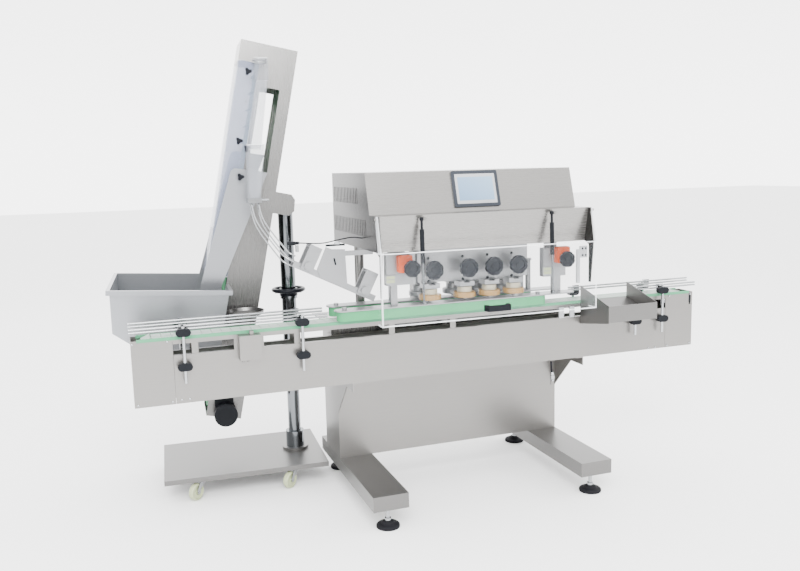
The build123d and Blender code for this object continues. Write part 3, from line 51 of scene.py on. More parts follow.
ORIGIN = Vector(((covers_low.x + covers_high.x) / 2, covers_low.y, 0.0))

# The elevator stands beside the machine, turned a few degrees
UNIT_PLACE = Vector((-793.0, 622.0, 0.0))
UNIT_TURN = -3.5
UNIT_SPIN = Matrix.Rotation(math.radians(UNIT_TURN), 3, "Z")
UNIT_FRONT = UNIT_SPIN @ FRONT


def at(x, y, z):
    """A place in the machine's frame, given in millimetres, as a place in the scene."""
    return ORIGIN + Vector((x, y, z)) / 1000


def unit(x, depth, z):
    """A place in the elevator's own turned frame."""
    return at(*(UNIT_PLACE + UNIT_SPIN @ Vector((x, depth, z))))


def set_down(name, data):
    """A new object in the scene, at the origin."""
    thing = bpy.data.objects.new(name, data)
    bpy.context.scene.collection.objects.link(thing)
    return thing


# Camera
CAMERA_PLACE = (-1308.5, -3128.1, 1439.1)
CAMERA_YAW = 0.3350
CAMERA_PITCH = 0.1447
CAMERA_ROLL = -0.0258
LENS = 36.44
SENSOR = 36.0
SHIFT = (0.0056, -0.0014)
FARTHEST = 60.0

level_reach = math.cos(CAMERA_PITCH)
yaw_sine, yaw_cosine = math.sin(CAMERA_YAW), math.cos(CAMERA_YAW)
forward = Vector((yaw_sine * level_reach, yaw_cosine * level_reach, -math.sin(CAMERA_PITCH)))
level_right = Vector((yaw_cosine, -yaw_sine, 0.0))
level_up = level_right.cross(forward)
rightward = math.cos(CAMERA_ROLL) * level_right + math.sin(CAMERA_ROLL) * level_up
upward = math.cos(CAMERA_ROLL) * level_up - math.sin(CAMERA_ROLL) * level_right
camera_data = bpy.data.cameras.new("camera")
camera_data.lens = LENS
camera_data.sensor_width = SENSOR
camera_data.shift_x, camera_data.shift_y = SHIFT
camera_data.clip_end = FARTHEST
camera = set_down("camera", camera_data)
camera_axes = Matrix((rightward, upward, -forward)).transposed().to_4x4()
camera.matrix_world = Matrix.Translation(at(*CAMERA_PLACE)) @ camera_axes
bpy.context.scene.camera = camera


def smooth_curve(name, places, steps):
    """A closed-ended NURBS curve with places in the machine's frame as its control points."""
    curve = bpy.data.curves.new(name, "CURVE")
    curve.dimensions = "3D"
    curve.use_fill_caps = True
    line = curve.splines.new("NURBS")
    line.points.add(len(places) - 1)
    for point, place in zip(line.points, places):
        point.co = (*at(*place), 1.0)
    line.order_u = 3
    line.use_endpoint_u = True
    line.resolution_u = steps
    return curve


# Sensor cable, on the same route points as the CAD tube
CABLE_ROUTE = ((-602.0, 65.0, 1144.0), (-552.0, 66.0, 1139.0), (-500.0, 68.0, 1137.0), (-455.0, 70.0, 1145.0),
               (-410.0, 71.0, 1152.0), (-372.0, 74.0, 1156.0), (-339.8, 60.0, 1150.0))
CABLE_DIAMETER = 0.005
CABLE_STEPS = 12

cable_curve = smooth_curve("sensor_cable_run", CABLE_ROUTE, CABLE_STEPS)
cable_curve.bevel_depth = 1.0
for point in cable_curve.splines[0].points:
    point.radius = CABLE_DIAMETER / 2
cable = set_down("sensor_cable_run", cable_curve)
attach(cable, "root")
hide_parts("sensor_cable")


# Finishes: a shader is written as sums of wires
class Wire:
    """A shader socket that can be added, multiplied and compared like a number."""

    def __init__(self, wiring, socket):
        self.wiring = wiring
        self.socket = socket

    def sums(self, operation, *values):
        return self.wiring.node("ShaderNodeMath", {"operation": operation}, dict(enumerate(values)))

    def __add__(self, other):
        return self.sums("ADD", self, other)

    def __radd__(self, other):
        return self.sums("ADD", other, self)

    def __sub__(self, other):
        return self.sums("SUBTRACT", self, other)

    def __rsub__(self, other):
        return self.sums("SUBTRACT", other, self)

    def __mul__(self, other):
        return self.sums("MULTIPLY", self, other)

    def __rmul__(self, other):
        return self.sums("MULTIPLY", other, self)

    def __truediv__(self, other):
        return self.sums("DIVIDE", self, other)

    def __gt__(self, other):
        return self.sums("GREATER_THAN", self, other)

    def __lt__(self, other):
        return self.sums("LESS_THAN", self, other)

    def __abs__(self):
        return self.sums("ABSOLUTE", self)

    def either(self, other):
        return self.sums("MAXIMUM", self, other)

    def both(self, other):
        return self.sums("MINIMUM", self, other)

    def clipped(self):
        return self.both(1.0).either(0.0)

    def near(self, value, width):
        """1 within a width of a value, 0 elsewhere."""
        return abs(self - value) < width

    def share(self, low, high):
        """0 at low, 1 at high and even between them."""
        return (self - low) / (high - low)


class Wiring:
    """A node tree. node() takes a node's type, its settings and the values or wires of its sockets."""

    def __init__(self, tree):
        self.tree = tree

    def node(self, kind, settings=None, inputs=None, output=0):
        made = self.tree.nodes.new(kind)
        for key, value in (settings or {}).items():
            if key == "stops":
                self.set_stops(made.color_ramp, value)
            else:
                setattr(made, key, value)
        for key, value in (inputs or {}).items():
            self.feed(made.inputs[key], value)
        return Wire(self, made.outputs[output])

    def set_stops(self, ramp, stops):
        """The first two stops are the ramp's own ends."""
        for element, (place, colour) in zip(ramp.elements, stops):
            element.position = place
            element.color = (*colour, 1.0)
        for place, colour in stops[2:]:
            ramp.elements.new(place).color = (*colour, 1.0)

    def feed(self, socket, value):
        if isinstance(value, Wire):
            self.tree.links.new(value.socket, socket)
        elif socket.type == "RGBA" and len(value) == 3:
            socket.default_value = (*value, 1.0)
        else:
            socket.default_value = value

    def part_of(self, vector, axis):
        return self.node("ShaderNodeSeparateXYZ", None, {"Vector": vector}, output=axis)

    def mix(self, share, first, second):
        inputs = {"Factor": share, 6: first, 7: second}
        return self.node("ShaderNodeMix", {"data_type": "RGBA"}, inputs, output=2)


class Finish(Wiring):
    """One material, whose shader's sockets are fed by wear()."""

    def __init__(self, name, **shader):
        self.material = bpy.data.materials.new(name)
        self.material.use_nodes = True
        super().__init__(self.material.node_tree)
        self.shader = self.tree.nodes["Principled BSDF"]
        self.wear(**shader)

    def wear(self, **shader):
        """Feeds the shader's sockets, named with underscores for spaces."""
        for key, value in shader.items():
            self.feed(self.shader.inputs[key.replace("_", " ")], value)

    def spot(self):
        return self.node("ShaderNodeTexCoord", output="Object")

    def axis(self, name):
        return self.part_of(self.spot(), name)

    def facing(self, name):
        """How far the surface faces along one axis, from -1 to 1."""
        return self.part_of(self.node("ShaderNodeNewGeometry", output="Normal"), name)

    def noise(self, scale, detail=2.0, stretch=(1.0, 1.0, 1.0), roughness=0.5):
        vector = self.node("ShaderNodeMapping", None, {"Vector": self.spot(), "Scale": stretch})
        inputs = {"Vector": vector, "Scale": scale, "Detail": detail, "Roughness": roughness}
        return self.node("ShaderNodeTexNoise", None, inputs, output="Fac")

    def bump(self, wire, distance, strength=1.0):
        inputs = {"Height": wire, "Distance": distance, "Strength": strength}
        return self.node("ShaderNodeBump", None, inputs, output="Normal")


# UNLIT is the black that painted shade is mixed towards.
UNLIT = (0.0, 0.0, 0.0)
STREAKS = {"x": (0.012, 1.0, 1.0), "z": (1.0, 1.0, 0.012)}
STREAK_SCALE = 900.0
BRUSH_DEPTH = 0.00004
BRUSH_STRENGTH = 0.6
BRUSH_TONE = 0.06
BRUSH_METAL = 0.85
SHADE_START = 1.75
SHADE_HEIGHT = 0.9
GRAIN_SCALE = 1600.0
GRAIN_DEPTH = 0.00006
PLASTIC_TONE = 0.12


def shades(colour, darker, lighter):
    """A darker and a lighter form of one colour, by shares of it."""
    return [tuple(min(1.0, c * share) for c in colour) for share in (1 - darker, 1 + lighter)]


def brushed(name, colour, along, roughness, ends=0.0, foot_shade=0.0):
    """Steel or aluminium with fine brush lines along one direction, and slow changes of tone.

    Painted shade darkens its end faces, across x, by the share ends, and darkens it towards the bottom by the
    share foot."""
    finish = Finish(name, Metallic=BRUSH_METAL)
    streak = finish.noise(STREAK_SCALE, 3.0, STREAKS[along], 0.6)
    cloud = finish.noise(3.0)
    pattern = (streak * 0.65 + cloud * 0.35 - 0.28) * 2.3
    field = finish.mix(pattern.clipped(), *shades(colour, BRUSH_TONE, BRUSH_TONE))
    # Painted shade: faces across x are mixed towards UNLIT black by the share ends.
    if ends:
        field = finish.mix(abs(finish.facing("X")) * ends, field, UNLIT)
    # Painted shade: darker towards the bottom, from SHADE_START down over SHADE_HEIGHT.
    if foot_shade:
        painted_shade_depth = ((SHADE_START - finish.axis("Z")) / SHADE_HEIGHT).clipped()
        field = finish.mix(painted_shade_depth * foot_shade, field, UNLIT)
    finish.wear(Base_Color=field, Roughness=streak * 0.14 + (roughness - 0.07) + cloud * 0.04,
                Normal=finish.bump(streak, BRUSH_DEPTH, BRUSH_STRENGTH))
    return finish


def plastic(name, colour, roughness, ior=1.3):
    """Moulded plastic or rubber with a fine grain and slightly uneven shine."""
    finish = Finish(name, IOR=ior)
    cloud = finish.noise(14.0, 3.0)
    finish.wear(Base_Color=finish.mix(cloud, *shades(colour, PLASTIC_TONE, PLASTIC_TONE)),
                Roughness=cloud * 0.16 + (roughness - 0.08),
                Normal=finish.bump(finish.noise(GRAIN_SCALE), GRAIN_DEPTH))
    return finish


def polished(name, colour, roughness=0.12):
    """Bright turned or chromed steel with faint handling marks."""
    finish = Finish(name, Metallic=1.0)
    cloud = finish.noise(40.0, 3.0)
    finish.wear(Base_Color=finish.mix(cloud, *shades(colour, 0.07, 0.05)),
                Roughness=cloud * 0.1 + (roughness - 0.05))
    return finish


# The ends share is painted shade on faces across x, heaviest on the hood's sides; the elevator also gets
# painted shade towards its bottom.
panel_steel = brushed("panel_steel", (0.220, 0.213, 0.204), "x", 0.3, ends=0.3)
hood_steel = brushed("hood_steel", (0.235, 0.229, 0.220), "x", 0.26, ends=0.92)
upright_steel = brushed("upright_steel", (0.230, 0.226, 0.218), "z", 0.26, ends=0.3)
elevator_steel = brushed("elevator_steel", (0.290, 0.286, 0.279), "z", 0.26, ends=0.3, foot_shade=0.55)
bin_steel = brushed("bin_steel", (0.290, 0.300, 0.318), "x", 0.28)
base_steel = brushed("base_steel", (0.150, 0.147, 0.143), "x", 0.34)
satin = brushed("satin_aluminium", (0.285, 0.290, 0.298), "x", 0.36)
bright = polished("bright_steel", (0.34, 0.35, 0.36))
chrome = polished("column_chrome", (0.15, 0.16, 0.17), 0.1)
black = plastic("black_plastic", (0.008, 0.009, 0.011), 0.4, ior=1.16)
knob_black = plastic("knob_black", (0.007, 0.008, 0.011), 0.32, ior=1.2)
mint = plastic("mint_belt", (0.050, 0.255, 0.110), 0.6)
mint_strip = plastic("mint_strip", (0.070, 0.260, 0.140), 0.5)
cream = plastic("cream_slats", (0.34, 0.40, 0.36), 0.45)
nylon = plastic("nylon_wheel", (0.36, 0.40, 0.24), 0.45)
orange = plastic("orange_housing", (0.60, 0.075, 0.010), 0.4)
slate = plastic("slate_bezel", (0.030, 0.034, 0.042), 0.4, ior=1.2)
jacket = plastic("cable_jacket", (0.007, 0.007, 0.009), 0.45, ior=1.16)
pad_rubber = plastic("pad_rubber", (0.010, 0.010, 0.012), 0.7, ior=1.16)
white_clip = plastic("white_clip", (0.36, 0.37, 0.385), 0.4)
cable_curve.materials.append(jacket.material)


# Painted highlight: where clear edges catch the light they are made whiter and more opaque.
RIM_HIGHLIGHT_COLOUR = (0.93, 0.95, 0.97)
RIM_HIGHLIGHT_COVER = 0.5
HAZE_COVER = 0.04


def clear_plastic(name, cover, tint, rim):
    """Clear sheet that hides the share cover: rim gives a wire that is 1 where an edge catches the light, and
    there a painted highlight makes the sheet whiter and more opaque.
    """
    finish = Finish(name, Roughness=0.06, IOR=1.3)
    finish.material.surface_render_method = "BLENDED"
    haze = finish.noise(6.0)
    edge = rim(finish)
    finish.wear(Alpha=(haze * HAZE_COVER + cover).either(edge * RIM_HIGHLIGHT_COVER),
                Base_Color=finish.mix(edge, tint, RIM_HIGHLIGHT_COLOUR))
    return finish


# The guard's edge, fold and corner widths, the arm share and the rim widths place the painted highlights.
GUARD_TOP = at(0, 0, 1108.0).z
GUARD_EDGE = 0.004
GUARD_FOLD = 0.0062
GUARD_CORNER = 0.0064
ARM_SHARE = 0.7
CHUTE_TINT = (0.36, 0.38, 0.42)
CHUTE_RIM = 0.003
COVER_TINT = (0.30, 0.33, 0.43)
COVER_RIM = 0.004
guard_low, guard_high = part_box("guard")


def guard_rim(finish):
    """The painted highlight on the door's bottom and top edges, its two folded corners and the front of each
    arm.
    """
    x, y, z = finish.axis("X"), finish.axis("Y"), finish.axis("Z")
    level = z.near(guard_low.z, GUARD_EDGE).either(z.near(GUARD_TOP, GUARD_EDGE))
    ends = x.near(guard_low.x, GUARD_FOLD).either(x.near(guard_high.x, GUARD_FOLD))
    corner = ends.both(y < guard_low.y + GUARD_CORNER)
    arm = ends.both(z > GUARD_TOP)
    return level.either(corner).either(arm * ARM_SHARE)


def end_rims(node, width):
    """The painted highlight on the lowest and highest edges of a clear part."""
    low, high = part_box(node)

    def rim(finish):
        z = finish.axis("Z")
        return z.near(low.z, width).either(z.near(high.z, width))
    return rim


guard_clear = clear_plastic("guard_clear", 0.0, (0.50, 0.53, 0.56), guard_rim)
upper_clear = clear_plastic("upper_chute_clear", 0.20, CHUTE_TINT, end_rims("upper_chute", CHUTE_RIM))
lower_clear = clear_plastic("lower_chute_clear", 0.20, CHUTE_TINT, end_rims("lower_chute", CHUTE_RIM))
cover_clear = clear_plastic("cover_clear", 0.46, COVER_TINT, end_rims("channel_cover", COVER_RIM))

# Spindles: amber discs below, a hub on them and steel above, with a washer under the disc
WASHER_TOP = at(0, 0, 883.8).z
DISC_TOP = at(0, 0, 907.5).z
HUB_TOP = at(0, 0, 929.3).z


def spindle_finish():
    """Amber cast rubber below, cream hub above it, steel shaft and washer."""
    finish = Finish("spindle_layers")
    z = finish.axis("Z")
    cloud = finish.noise(30.0, 3.0)
    rubber = finish.mix(cloud, (0.20, 0.105, 0.02), (0.30, 0.175, 0.045))
    hub = finish.mix(cloud, (0.30, 0.27, 0.19), (0.38, 0.35, 0.26))
    steel = (z > HUB_TOP).either(z < WASHER_TOP)
    colour = finish.mix(steel, finish.mix(z > DISC_TOP, rubber, hub), (0.34, 0.34, 0.34))
    finish.wear(Base_Color=colour, Metallic=steel * 0.9, Roughness=cloud * 0.15 + 0.3, Coat_Weight=0.2)
    return finish


def castor_finish():
    """Pale nylon with the soft blotches of a wheel in use."""
    finish = Finish("castor_nylon")
    cloud = finish.noise(60.0, 3.0)
    colour = finish.mix(cloud, (0.32, 0.36, 0.20), (0.44, 0.48, 0.30))
    finish.wear(Base_Color=colour, Roughness=cloud * 0.2 + 0.35)
    return finish


NODE_FINISHES = {
    "conveyor_panels": panel_steel, "end_covers": panel_steel, "conveyor_rails": panel_steel,
    "sensor_box": panel_steel, "cabinet": panel_steel, "exit_tray": base_steel, "foot_beams": base_steel,
    "wear_strips": mint_strip, "slat_chain": cream, "tail_roller": bright, "drive_roller": bright,
    "guide_rails": bright, "rail_clamps": black, "levelling_pads": pad_rubber, "levelling_stems": bright,
    "transport_wheels": nylon, "hood": hood_steel, "touch_panel": slate, "head_frame": upright_steel,
    "head_plate": satin, "adjuster_blocks": satin, "position_indicators": orange, "belt_frames": satin,
    "gripper_belts": mint, "guard": guard_clear, "guard_handle": black, "gas_spring_tubes": black,
    "gas_spring_rods": chrome, "cap_track": satin, "cap_guide_rods": bright, "lower_chute": lower_clear,
    "elevator_base": base_steel, "lower_column": chrome, "upper_column": chrome, "handwheel": knob_black,
    "elevator_frame": elevator_steel, "cleated_belt": mint, "channel_cover": cover_clear, "hopper": bin_steel,
    "elevator_motor": black, "upper_chute": upper_clear,
}
REPEAT_FINISHES = {
    "spindle": spindle_finish(), "spindle_knob": knob_black, "adjuster_knob": knob_black,
    "caster_fork": bright, "caster_wheel": castor_finish(),
}
for name, node in nodes.items():
    finish = NODE_FINISHES.get(name) or REPEAT_FINISHES.get(name.rstrip("_0123456789"))
    if finish:
        node.data.materials.clear()
        node.data.materials.append(finish.material)


# Making pieces
def new_piece(name, mesh, finish, body="root"):
    """A finished piece that rides on a body."""
    piece = set_down(name, mesh)
    mesh.materials.clear()
    mesh.materials.append(finish.material)
    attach(piece, body)


def mesh_of(build):
    """A mesh from a function that fills a bmesh."""
    form = bmesh.new()
    build(form)
    bmesh.ops.remove_doubles(form, verts=form.verts, dist=1e-6)
    bmesh.ops.recalc_face_normals(form, faces=form.faces)
    mesh = bpy.data.meshes.new("form")
    form.to_mesh(mesh)
    form.free()
    return mesh


def turns(steps):
    """Even turns round a circle, in radians."""
    return [2 * math.pi * i / steps for i in range(steps)]


def polar(reach, turn, height):
    """A point round z from millimetres, in metres."""
    return Vector((reach * math.cos(turn), reach * math.sin(turn), height)) / 1000


def skin(form, rings):
    """Faces from each ring of places to the next. The rings' new points are returned."""
    rings = [[form.verts.new(place) for place in ring] for ring in rings]
    for low, high in zip(rings, rings[1:]):
        for i in range(len(low)):
            j = (i + 1) % len(low)
            form.faces.new((low[i], low[j], high[j], high[i]))
    return rings


def closed_skin(form, rings):
    """A skin with a lid at each end."""
    points = skin(form, rings)
    form.faces.new(points[0][::-1])
    form.faces.new(points[-1])


def lathe(profile, steps=24):
    """A turned form round z from (radius, height) pairs in millimetres, closed at both ends."""
    rings = [[polar(radius, turn, height) for turn in turns(steps)] for radius, height in profile]
    return mesh_of(lambda form: closed_skin(form, rings))


def slab(outline, thickness):
    """A plate from an outline in (x, y) millimetres, from z = 0 up."""
    rings = [[Vector((x, y, height)) / 1000 for x, y in outline] for height in (0.0, thickness)]
    return mesh_of(lambda form: closed_skin(form, rings))


def hoop(radius, wire):
    """A round ring of wire lying on z = 0."""
    rings = [[polar(radius + wire * math.cos(around), turn, wire * math.sin(around)) for around in turns(10)]
             for turn in turns(40)]
    return mesh_of(lambda form: skin(form, rings + rings[:1]))


def rounded(width, height, radius, steps=5):
    """A rectangle's outline with round corners, round the middle."""
    points = []
    for across, along, start in ((1, 1, 0), (-1, 1, 90), (-1, -1, 180), (1, -1, 270)):
        for i in range(steps + 1):
            turn = math.radians(start + 90 * i / steps)
            points.append((across * (width / 2 - radius) + radius * math.cos(turn),
                           along * (height / 2 - radius) + radius * math.sin(turn)))
    return points


def three_lobed(radius, thickness, steps=48):
    """A grip with three soft lobes."""
    reaches = [(turn, radius * (0.78 + 0.22 * math.cos(3 * turn))) for turn in turns(steps)]
    return slab([(reach * math.cos(turn), reach * math.sin(turn)) for turn, reach in reaches], thickness)


def socket_screw(radius, height, steps=18):
    """A button screw: a domed head with a hexagon socket sunk in it."""
    head = ((1.0, 0.0), (1.0, 0.35), (0.86, 0.8), (0.6, 1.0))
    socket_floor = 0.3
    socket_size = 0.45
    sixth = math.pi / 3

    def socket_reach(turn):
        return radius * socket_size * math.cos(sixth / 2) / math.cos(turn % sixth - sixth / 2)

    rings = [[polar(radius * across, turn, height * up) for turn in turns(steps)] for across, up in head]
    for up in (1.0, socket_floor):
        rings.append([polar(socket_reach(turn), turn, height * up) for turn in turns(steps)])
    return mesh_of(lambda form: closed_skin(form, rings))


SOFT_EDGE = 0.16


def bar(x, y, z):
    """A block with soft edges between two corners, given as ranges in the machine's frame."""
    middle = at((x[0] + x[1]) / 2, (y[0] + y[1]) / 2, (z[0] + z[1]) / 2)
    sides = Vector((x[1] - x[0], y[1] - y[0], z[1] - z[0])) / 1000

    def build(form):
        bmesh.ops.create_cube(form, size=1.0)
        bmesh.ops.scale(form, vec=sides, verts=form.verts)
        bmesh.ops.bevel(form, geom=form.edges[:], offset=min(sides) * SOFT_EDGE, segments=2, affect="EDGES",
                        profile=0.5)
        bmesh.ops.translate(form, vec=middle, verts=form.verts)
    return mesh_of(build)


def tube(places, radius, steps=10, roundness=3):
    """A round tube along a smooth line in the machine's frame."""
    curve = smooth_curve("tube", places, steps)
    curve.bevel_depth = radius / 1000
    curve.bevel_resolution = roundness
    carrier = set_down("tube", curve)
    mesh = bpy.data.meshes.new_from_object(carrier)
    bpy.data.objects.remove(carrier)
    return mesh


def stood(direction, place):
    """The matrix that stands a form's z axis along a direction at a place."""
    return Matrix.Translation(place) @ direction.to_track_quat("Z", "Y").to_matrix().to_4x4()


def plate(outline, thickness, direction, place, turn=0.0):
    """A slab stood on a face, turned in its own plane by degrees."""
    mesh = slab(outline, thickness)
    mesh.transform(stood(direction, place) @ Matrix.Rotation(math.radians(turn), 4, "Z"))
    return mesh


def merged(*meshes):
    """One mesh from several."""
    form = bmesh.new()
    for mesh in meshes:
        form.from_mesh(mesh)
    made = bpy.data.meshes.new("merged")
    form.to_mesh(made)
    form.free()
    return made


# Repeats are set out by one tree: a form on every point, turned to the point's own direction
def repeat_tree():
    tree = bpy.data.node_groups.new("set_out", "GeometryNodeTree")
    ends = (("Points", "INPUT", "Geometry"), ("Form", "INPUT", "Object"), ("Size", "INPUT", "Float"),
            ("Finish", "INPUT", "Material"), ("Result", "OUTPUT", "Geometry"))
    for name, side, kind in ends:
        tree.interface.new_socket(name, in_out=side, socket_type="NodeSocket" + kind)
    make = tree.nodes.new
    entry, leave = make("NodeGroupInput"), make("NodeGroupOutput")
    heading = make("GeometryNodeInputNamedAttribute")
    heading.data_type = "FLOAT_VECTOR"
    heading.inputs["Name"].default_value = "facing"
    align = make("FunctionNodeAlignRotationToVector")
    align.axis = "Z"
    info = make("GeometryNodeObjectInfo")
    place = make("GeometryNodeInstanceOnPoints")
    realize = make("GeometryNodeRealizeInstances")
    coat = make("GeometryNodeSetMaterial")
    for start, out, end, into in (
            (heading, "Attribute", align, "Vector"), (entry, "Form", info, "Object"),
            (entry, "Points", place, "Points"), (info, "Geometry", place, "Instance"),
            (align, "Rotation", place, "Rotation"), (entry, "Size", place, "Scale"),
            (place, "Instances", realize, "Geometry"), (realize, "Geometry", coat, "Geometry"),
            (entry, "Finish", coat, "Material"), (coat, "Geometry", leave, "Result")):
        tree.links.new(start.outputs[out], end.inputs[into])
    return tree


SET_OUT = repeat_tree()


def set_out(name, form, spots, finish, body="root", size=1.0):
    """A copy of a form, times size, at every spot, a (place, direction) pair, as one plain mesh."""
    points = bpy.data.meshes.new("points")
    points.from_pydata([place for place, direction in spots], [], [])
    attribute = points.attributes.new("facing", "FLOAT_VECTOR", "POINT")
    attribute.data.foreach_set("vector", [part for place, direction in spots for part in direction])
    source = set_down("form", form)
    carrier = set_down("carrier", points)
    modifier = carrier.modifiers.new("set_out", "NODES")
    modifier.node_group = SET_OUT
    values = {"Form": source, "Size": size, "Finish": finish.material}
    for item in SET_OUT.interface.items_tree:
        if item.name in values:
            modifier[item.identifier] = values[item.name]
    graph = bpy.context.evaluated_depsgraph_get()
    mesh = bpy.data.meshes.new_from_object(carrier.evaluated_get(graph), depsgraph=graph)
    for thing in (source, carrier):
        bpy.data.objects.remove(thing)
    new_piece(name, mesh, finish, body)


# Conveyor: screws of both panels and the end covers, in (x, z) pairs
PANEL_SCREWS = ((-1101, 571), (-1071, 571), (-1269, 803), (-1142, 803), (-1262, 567), (-1135, 567),
                (1069, 564), (1030, 563), (1135, 567), (1262, 567), (1142, 803), (1262, 803))
PANEL_FRONT = -0.2
PANEL_BACK = 100.2
small_screw = socket_screw(4.5, 2.6)
panel_sides = ((PANEL_FRONT, FRONT), (PANEL_BACK, BACK))
set_out("panel_screws", small_screw,
        [(at(x, y, z), side) for y, side in panel_sides for x, z in PANEL_SCREWS],
        bright)

# Head: screws above and below each spindle
SPINDLE_PLACES = (-71.0, 86.0, 202.0, 318.0)
HEAD_SCREW_HEIGHTS = (1055.0, 957.5)
HEAD_PLATE_FACE = 5.0
set_out("head_plate_screws", socket_screw(6.5, 3.0),
        [(at(x, HEAD_PLATE_FACE, z), FRONT) for x in SPINDLE_PLACES for z in HEAD_SCREW_HEIGHTS],
        black)

# Elevator: cover screws, and three-lobed knobs that stand off the frame on studs
FRAME_FACE = -110.0
KNOB_REACH = 52.0
STUD_SINK = 8.0
COVER_SCREWS = ((83.2, 1736.9), (61.6, 1655.4))
COVER_KNOBS = ((94.8, 1858.6), (41.2, 1565.1), (73.8, 1532.4), (39.5, 1410.5))
set_out("cover_screws", small_screw, [(unit(x, FRAME_FACE, z), UNIT_FRONT) for x, z in COVER_SCREWS],
        bright, "lift")
knob_neck = lathe([(8.0, -9.0), (9.5, -2.0), (9.5, 0.2)])
knob_cap = lathe([(6.0, 10.8), (6.0, 12.0), (4.5, 12.8)])
set_out("cover_knobs", merged(three_lobed(17.0, 11.0), knob_neck, knob_cap),
        [(unit(x, FRAME_FACE - KNOB_REACH, z), UNIT_FRONT) for x, z in COVER_KNOBS],
        knob_black, "lift")
set_out("cover_knob_studs", lathe([(3.5, 0.0), (3.5, KNOB_REACH - STUD_SINK)]),
        [(unit(x, FRAME_FACE, z), UNIT_FRONT) for x, z in COVER_KNOBS], bright, "lift")

# Elevator: two wire rings round the chute's outlet box
OUTLET_RING_PLACE = unit(144.2, -165.0, 1907.1)
OUTLET_RING_STEP = 0.012
set_out("outlet_rings", hoop(27.0, 2.6),
        [(OUTLET_RING_PLACE - UP * OUTLET_RING_STEP * i, UP) for i in range(2)],
        bright, "lift")

# Cap track: a sensor at its head, a key slot and a domed bracket on its side plate
TRACK_PLATE_FACE = 38.0
sensor_body = lathe([(5.0, -3.0), (8.0, 0.0), (8.0, 30.0), (6.5, 32.0), (6.5, 44.0), (3.5, 48.0)])
sensor_body.transform(stood(RIGHT, at(-650.0, 65.0, 1144.0)))
new_piece("track_sensor", sensor_body, black)
new_piece("track_sensor_bracket", bar((-618.0, -606.0), (57.0, 73.0), (1108.0, 1136.5)), bright)
# The key slot is drawn as a thin black plate: its dark is painted shade of the opening.
key_slot = plate(rounded(7.0, 30.0, 3.4), 0.8, FRONT, at(-464.5, TRACK_PLATE_FACE, 1063.0), turn=12.0)
new_piece("track_key_slot", key_slot, black)
new_piece("track_bracket", bar((-500.0, -420.0), (36.0, 44.0), (1126.0, 1134.0)), black)
bracket_dome = lathe([(13.0, 0.0), (12.0, 6.0), (8.5, 10.0), (3.0, 12.0)])
set_out("track_bracket_dome", bracket_dome, [(at(-452.0, 40.0, 1133.5), UP)], white_clip)

# Head: a framed pair of counter windows on each adjuster block
COUNTERS = ((-249.0, 981.0), (478.0, 969.0))
COUNTER_FACE = -23.0
COUNTER_FRAME = 2.4
WINDOW_SINK = 0.2
WINDOW_RISES = (8.0, -8.0)
for number, (x, z) in enumerate(COUNTERS, 1):
    counter_frame = plate(rounded(46.0, 36.0, 2.5), COUNTER_FRAME, FRONT, at(x, COUNTER_FACE, z))
    new_piece(f"counter_frame_{number}", counter_frame, satin)
    for row, rise in enumerate(WINDOW_RISES, 1):
        window_place = at(x, COUNTER_FACE - COUNTER_FRAME + WINDOW_SINK, z + rise)
        window = plate(rounded(36.0, 12.0, 1.5), 0.8, FRONT, window_place)
        new_piece(f"counter_window_{number}_{row}", window, nylon)

# Guard: its switch at the hood's right wing, on a screwed bracket
SWITCH_BRACKET_FACE = -152.0
new_piece("door_switch", bar((551.0, 565.0), (-150.0, -136.0), (925.0, 1070.0)), white_clip)
new_piece("switch_bracket", bar((562.0, 599.0), (SWITCH_BRACKET_FACE, -144.0), (1034.0, 1084.0)), white_clip)
set_out("switch_screws", small_screw,
        [(at(x, SWITCH_BRACKET_FACE, z), FRONT) for x in (574.0, 590.0) for z in (1045.0, 1073.0)],
        black)

# Conveyor: two clips under the guard and a slot in the right end cover
for number, span in enumerate(((549.0, 572.0), (604.0, 625.0)), 1):
    new_piece(f"belt_clip_{number}", bar(span, (-9.0, -1.0), (748.0, 797.0)), white_clip)
# The slot is drawn as a thin black plate: its dark is painted shade of the opening.
cover_slot = plate(rounded(11.0, 42.0, 1.5), 0.7, FRONT, at(1260.0, 0.0, 786.0))
new_piece("cover_slot", cover_slot, black)

# Cabinet: a supply lead and its bright connector at the upper right corner
LEAD_ROUTE = ((507.0, -9.0, 556.0), (507.0, -9.0, 535.0), (510.0, -9.0, 505.0))
LEAD_RADIUS = 4.5
CONNECTOR_LEAN = Vector((0.06, 0.0, -1.0))
connector = lathe([(5.5, 0.0), (7.5, 4.0), (7.5, 14.0), (9.5, 15.0), (9.5, 30.0), (7.0, 33.0), (7.0, 41.0)])
new_piece("supply_lead", tube(LEAD_ROUTE, LEAD_RADIUS), jacket)
set_out("supply_connector", connector, [(at(511.0, -9.5, 506.0), CONNECTOR_LEAN)], bright)

# Touch panel: a pale frame and a lit screen on the hood's slope
HOOD_TOP_FRONT = Vector((0.0, 2.0, 1416.0))
HOOD_SLOPE_FOOT = Vector((0.0, -48.0, 1248.0))
BEZEL_X = 137.0
BEZEL_ALONG = 82.0
BEZEL_FACE = 7.0
slope_down = (HOOD_SLOPE_FOOT - HOOD_TOP_FRONT).normalized()
slope_out = Vector((0.0, slope_down.z, -slope_down.y))
slope_axes = Matrix((RIGHT, -slope_down, slope_out)).transposed().to_4x4()
panel_low, panel_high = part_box("touch_panel")


def screen_part(name, width, height, out, thickness, radius, finish):
    """A round-cornered slab at a distance out from the slope, in the middle of the bezel."""
    mesh = slab(rounded(width, height, radius), thickness)
    place = at(*(HOOD_TOP_FRONT + RIGHT * BEZEL_X + slope_down * BEZEL_ALONG + slope_out * out))
    mesh.transform(Matrix.Translation(place) @ slope_axes)
    new_piece(name, mesh, finish)


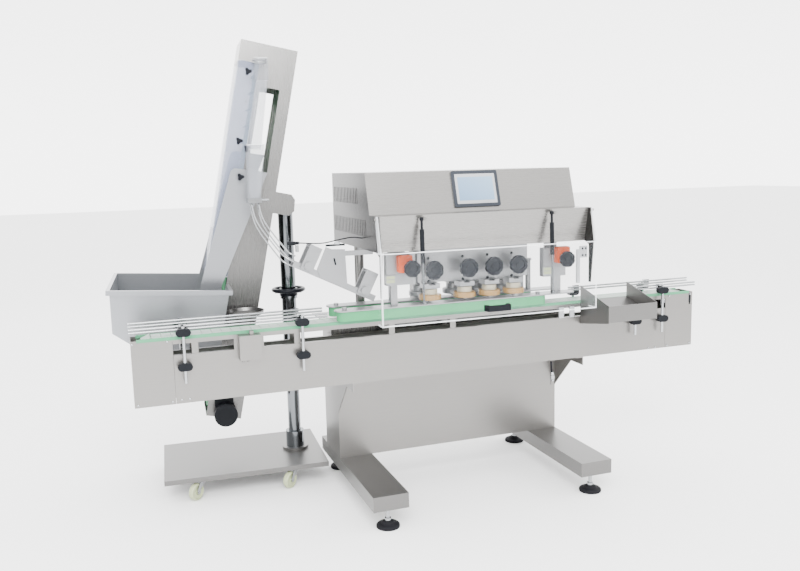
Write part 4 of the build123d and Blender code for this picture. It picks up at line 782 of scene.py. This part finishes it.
def screen_finish():
    """A lit screen: a steel-blue field, paler towards one corner."""
    finish = Finish("screen_glass", Roughness=0.12, Coat_Weight=0.4, Emission_Strength=0.25)
    across = finish.axis("X").share(panel_low.x, panel_high.x)
    up = finish.axis("Z").share(panel_low.z, panel_high.z)
    field = finish.mix((across * 0.5 + up * 0.5).clipped(), (0.11, 0.205, 0.34), (0.22, 0.33, 0.45))
    finish.wear(Base_Color=field, Emission_Color=field)
    return finish


SCREEN_FRAME_SINK = 0.2
SCREEN_FRAME_DEPTH = 1.2
screen_part("screen_frame", 182, 127, BEZEL_FACE - SCREEN_FRAME_SINK, SCREEN_FRAME_DEPTH, 1.5, white_clip)
screen_part("screen_glass", 160, 100, BEZEL_FACE + 0.8, 0.6, 0.8, screen_finish())

# Floor
FLOOR_HALF = 30.0
FLOOR_SINK = 0.0005
floor_mesh = mesh_of(lambda form: bmesh.ops.create_grid(form, x_segments=1, y_segments=1, size=FLOOR_HALF))
floor = set_down("floor", floor_mesh)
floor.location.z = -FLOOR_SINK
floor_mesh.materials.append(Finish("floor", Base_Color=(0.97, 0.97, 0.97), Roughness=0.9).material)

# Studio: white behind the machine and overhead, greyer walls at its sides and behind the camera
CEILING_GREY = (0.72, 0.72, 0.72)
STUDIO_STRENGTH = 5.6
world = bpy.data.worlds.new("studio")
bpy.context.scene.world = world
world.use_nodes = True
studio = Wiring(world.node_tree)
background = world.node_tree.nodes["Background"]
heading = studio.node("ShaderNodeTexCoord", output="Generated")


def walls(axis, *stops):
    """Greys along one axis of the room, from 0 at its low side to 1 at its high side."""
    inputs = {"Value": studio.part_of(heading, axis), "From Min": -1.0}
    along = studio.node("ShaderNodeMapRange", None, inputs, output="Result")
    greys = [(place, (grey, grey, grey)) for place, grey in stops]
    return studio.node("ShaderNodeValToRGB", {"stops": greys}, {"Fac": along}, output="Color")


overhead = walls("Z", (0.0, 0.0), (1.0, 1.0), (0.52, 0.0), (0.66, 0.85))
around = walls("Y", (0.0, 0.22), (1.0, 1.0), (0.36, 0.16), (0.50, 0.10), (0.62, 0.35), (0.72, 1.0))
studio.feed(background.inputs["Color"], studio.mix(overhead, around, CEILING_GREY))
studio.feed(background.inputs["Strength"], STUDIO_STRENGTH)


def soft_light(name, place, aim, power, size=3.0):
    """A square lamp at a place, aimed at another, in metres and watts."""
    data = bpy.data.lights.new(name, "AREA")
    data.shape = "SQUARE"
    data.size = size
    data.energy = power
    set_down(name, data).matrix_world = stood(Vector(place) - Vector(aim), Vector(place))


soft_light("key_light", (-1.5, -4.5, 4.2), (0, 0, 0.8), 520.0)
soft_light("side_light", (5.0, -1.5, 3.0), (0, 0, 0.9), 90.0)
soft_light("back_light", (-2.0, 5.0, 4.0), (0, 0, 1.0), 60.0)
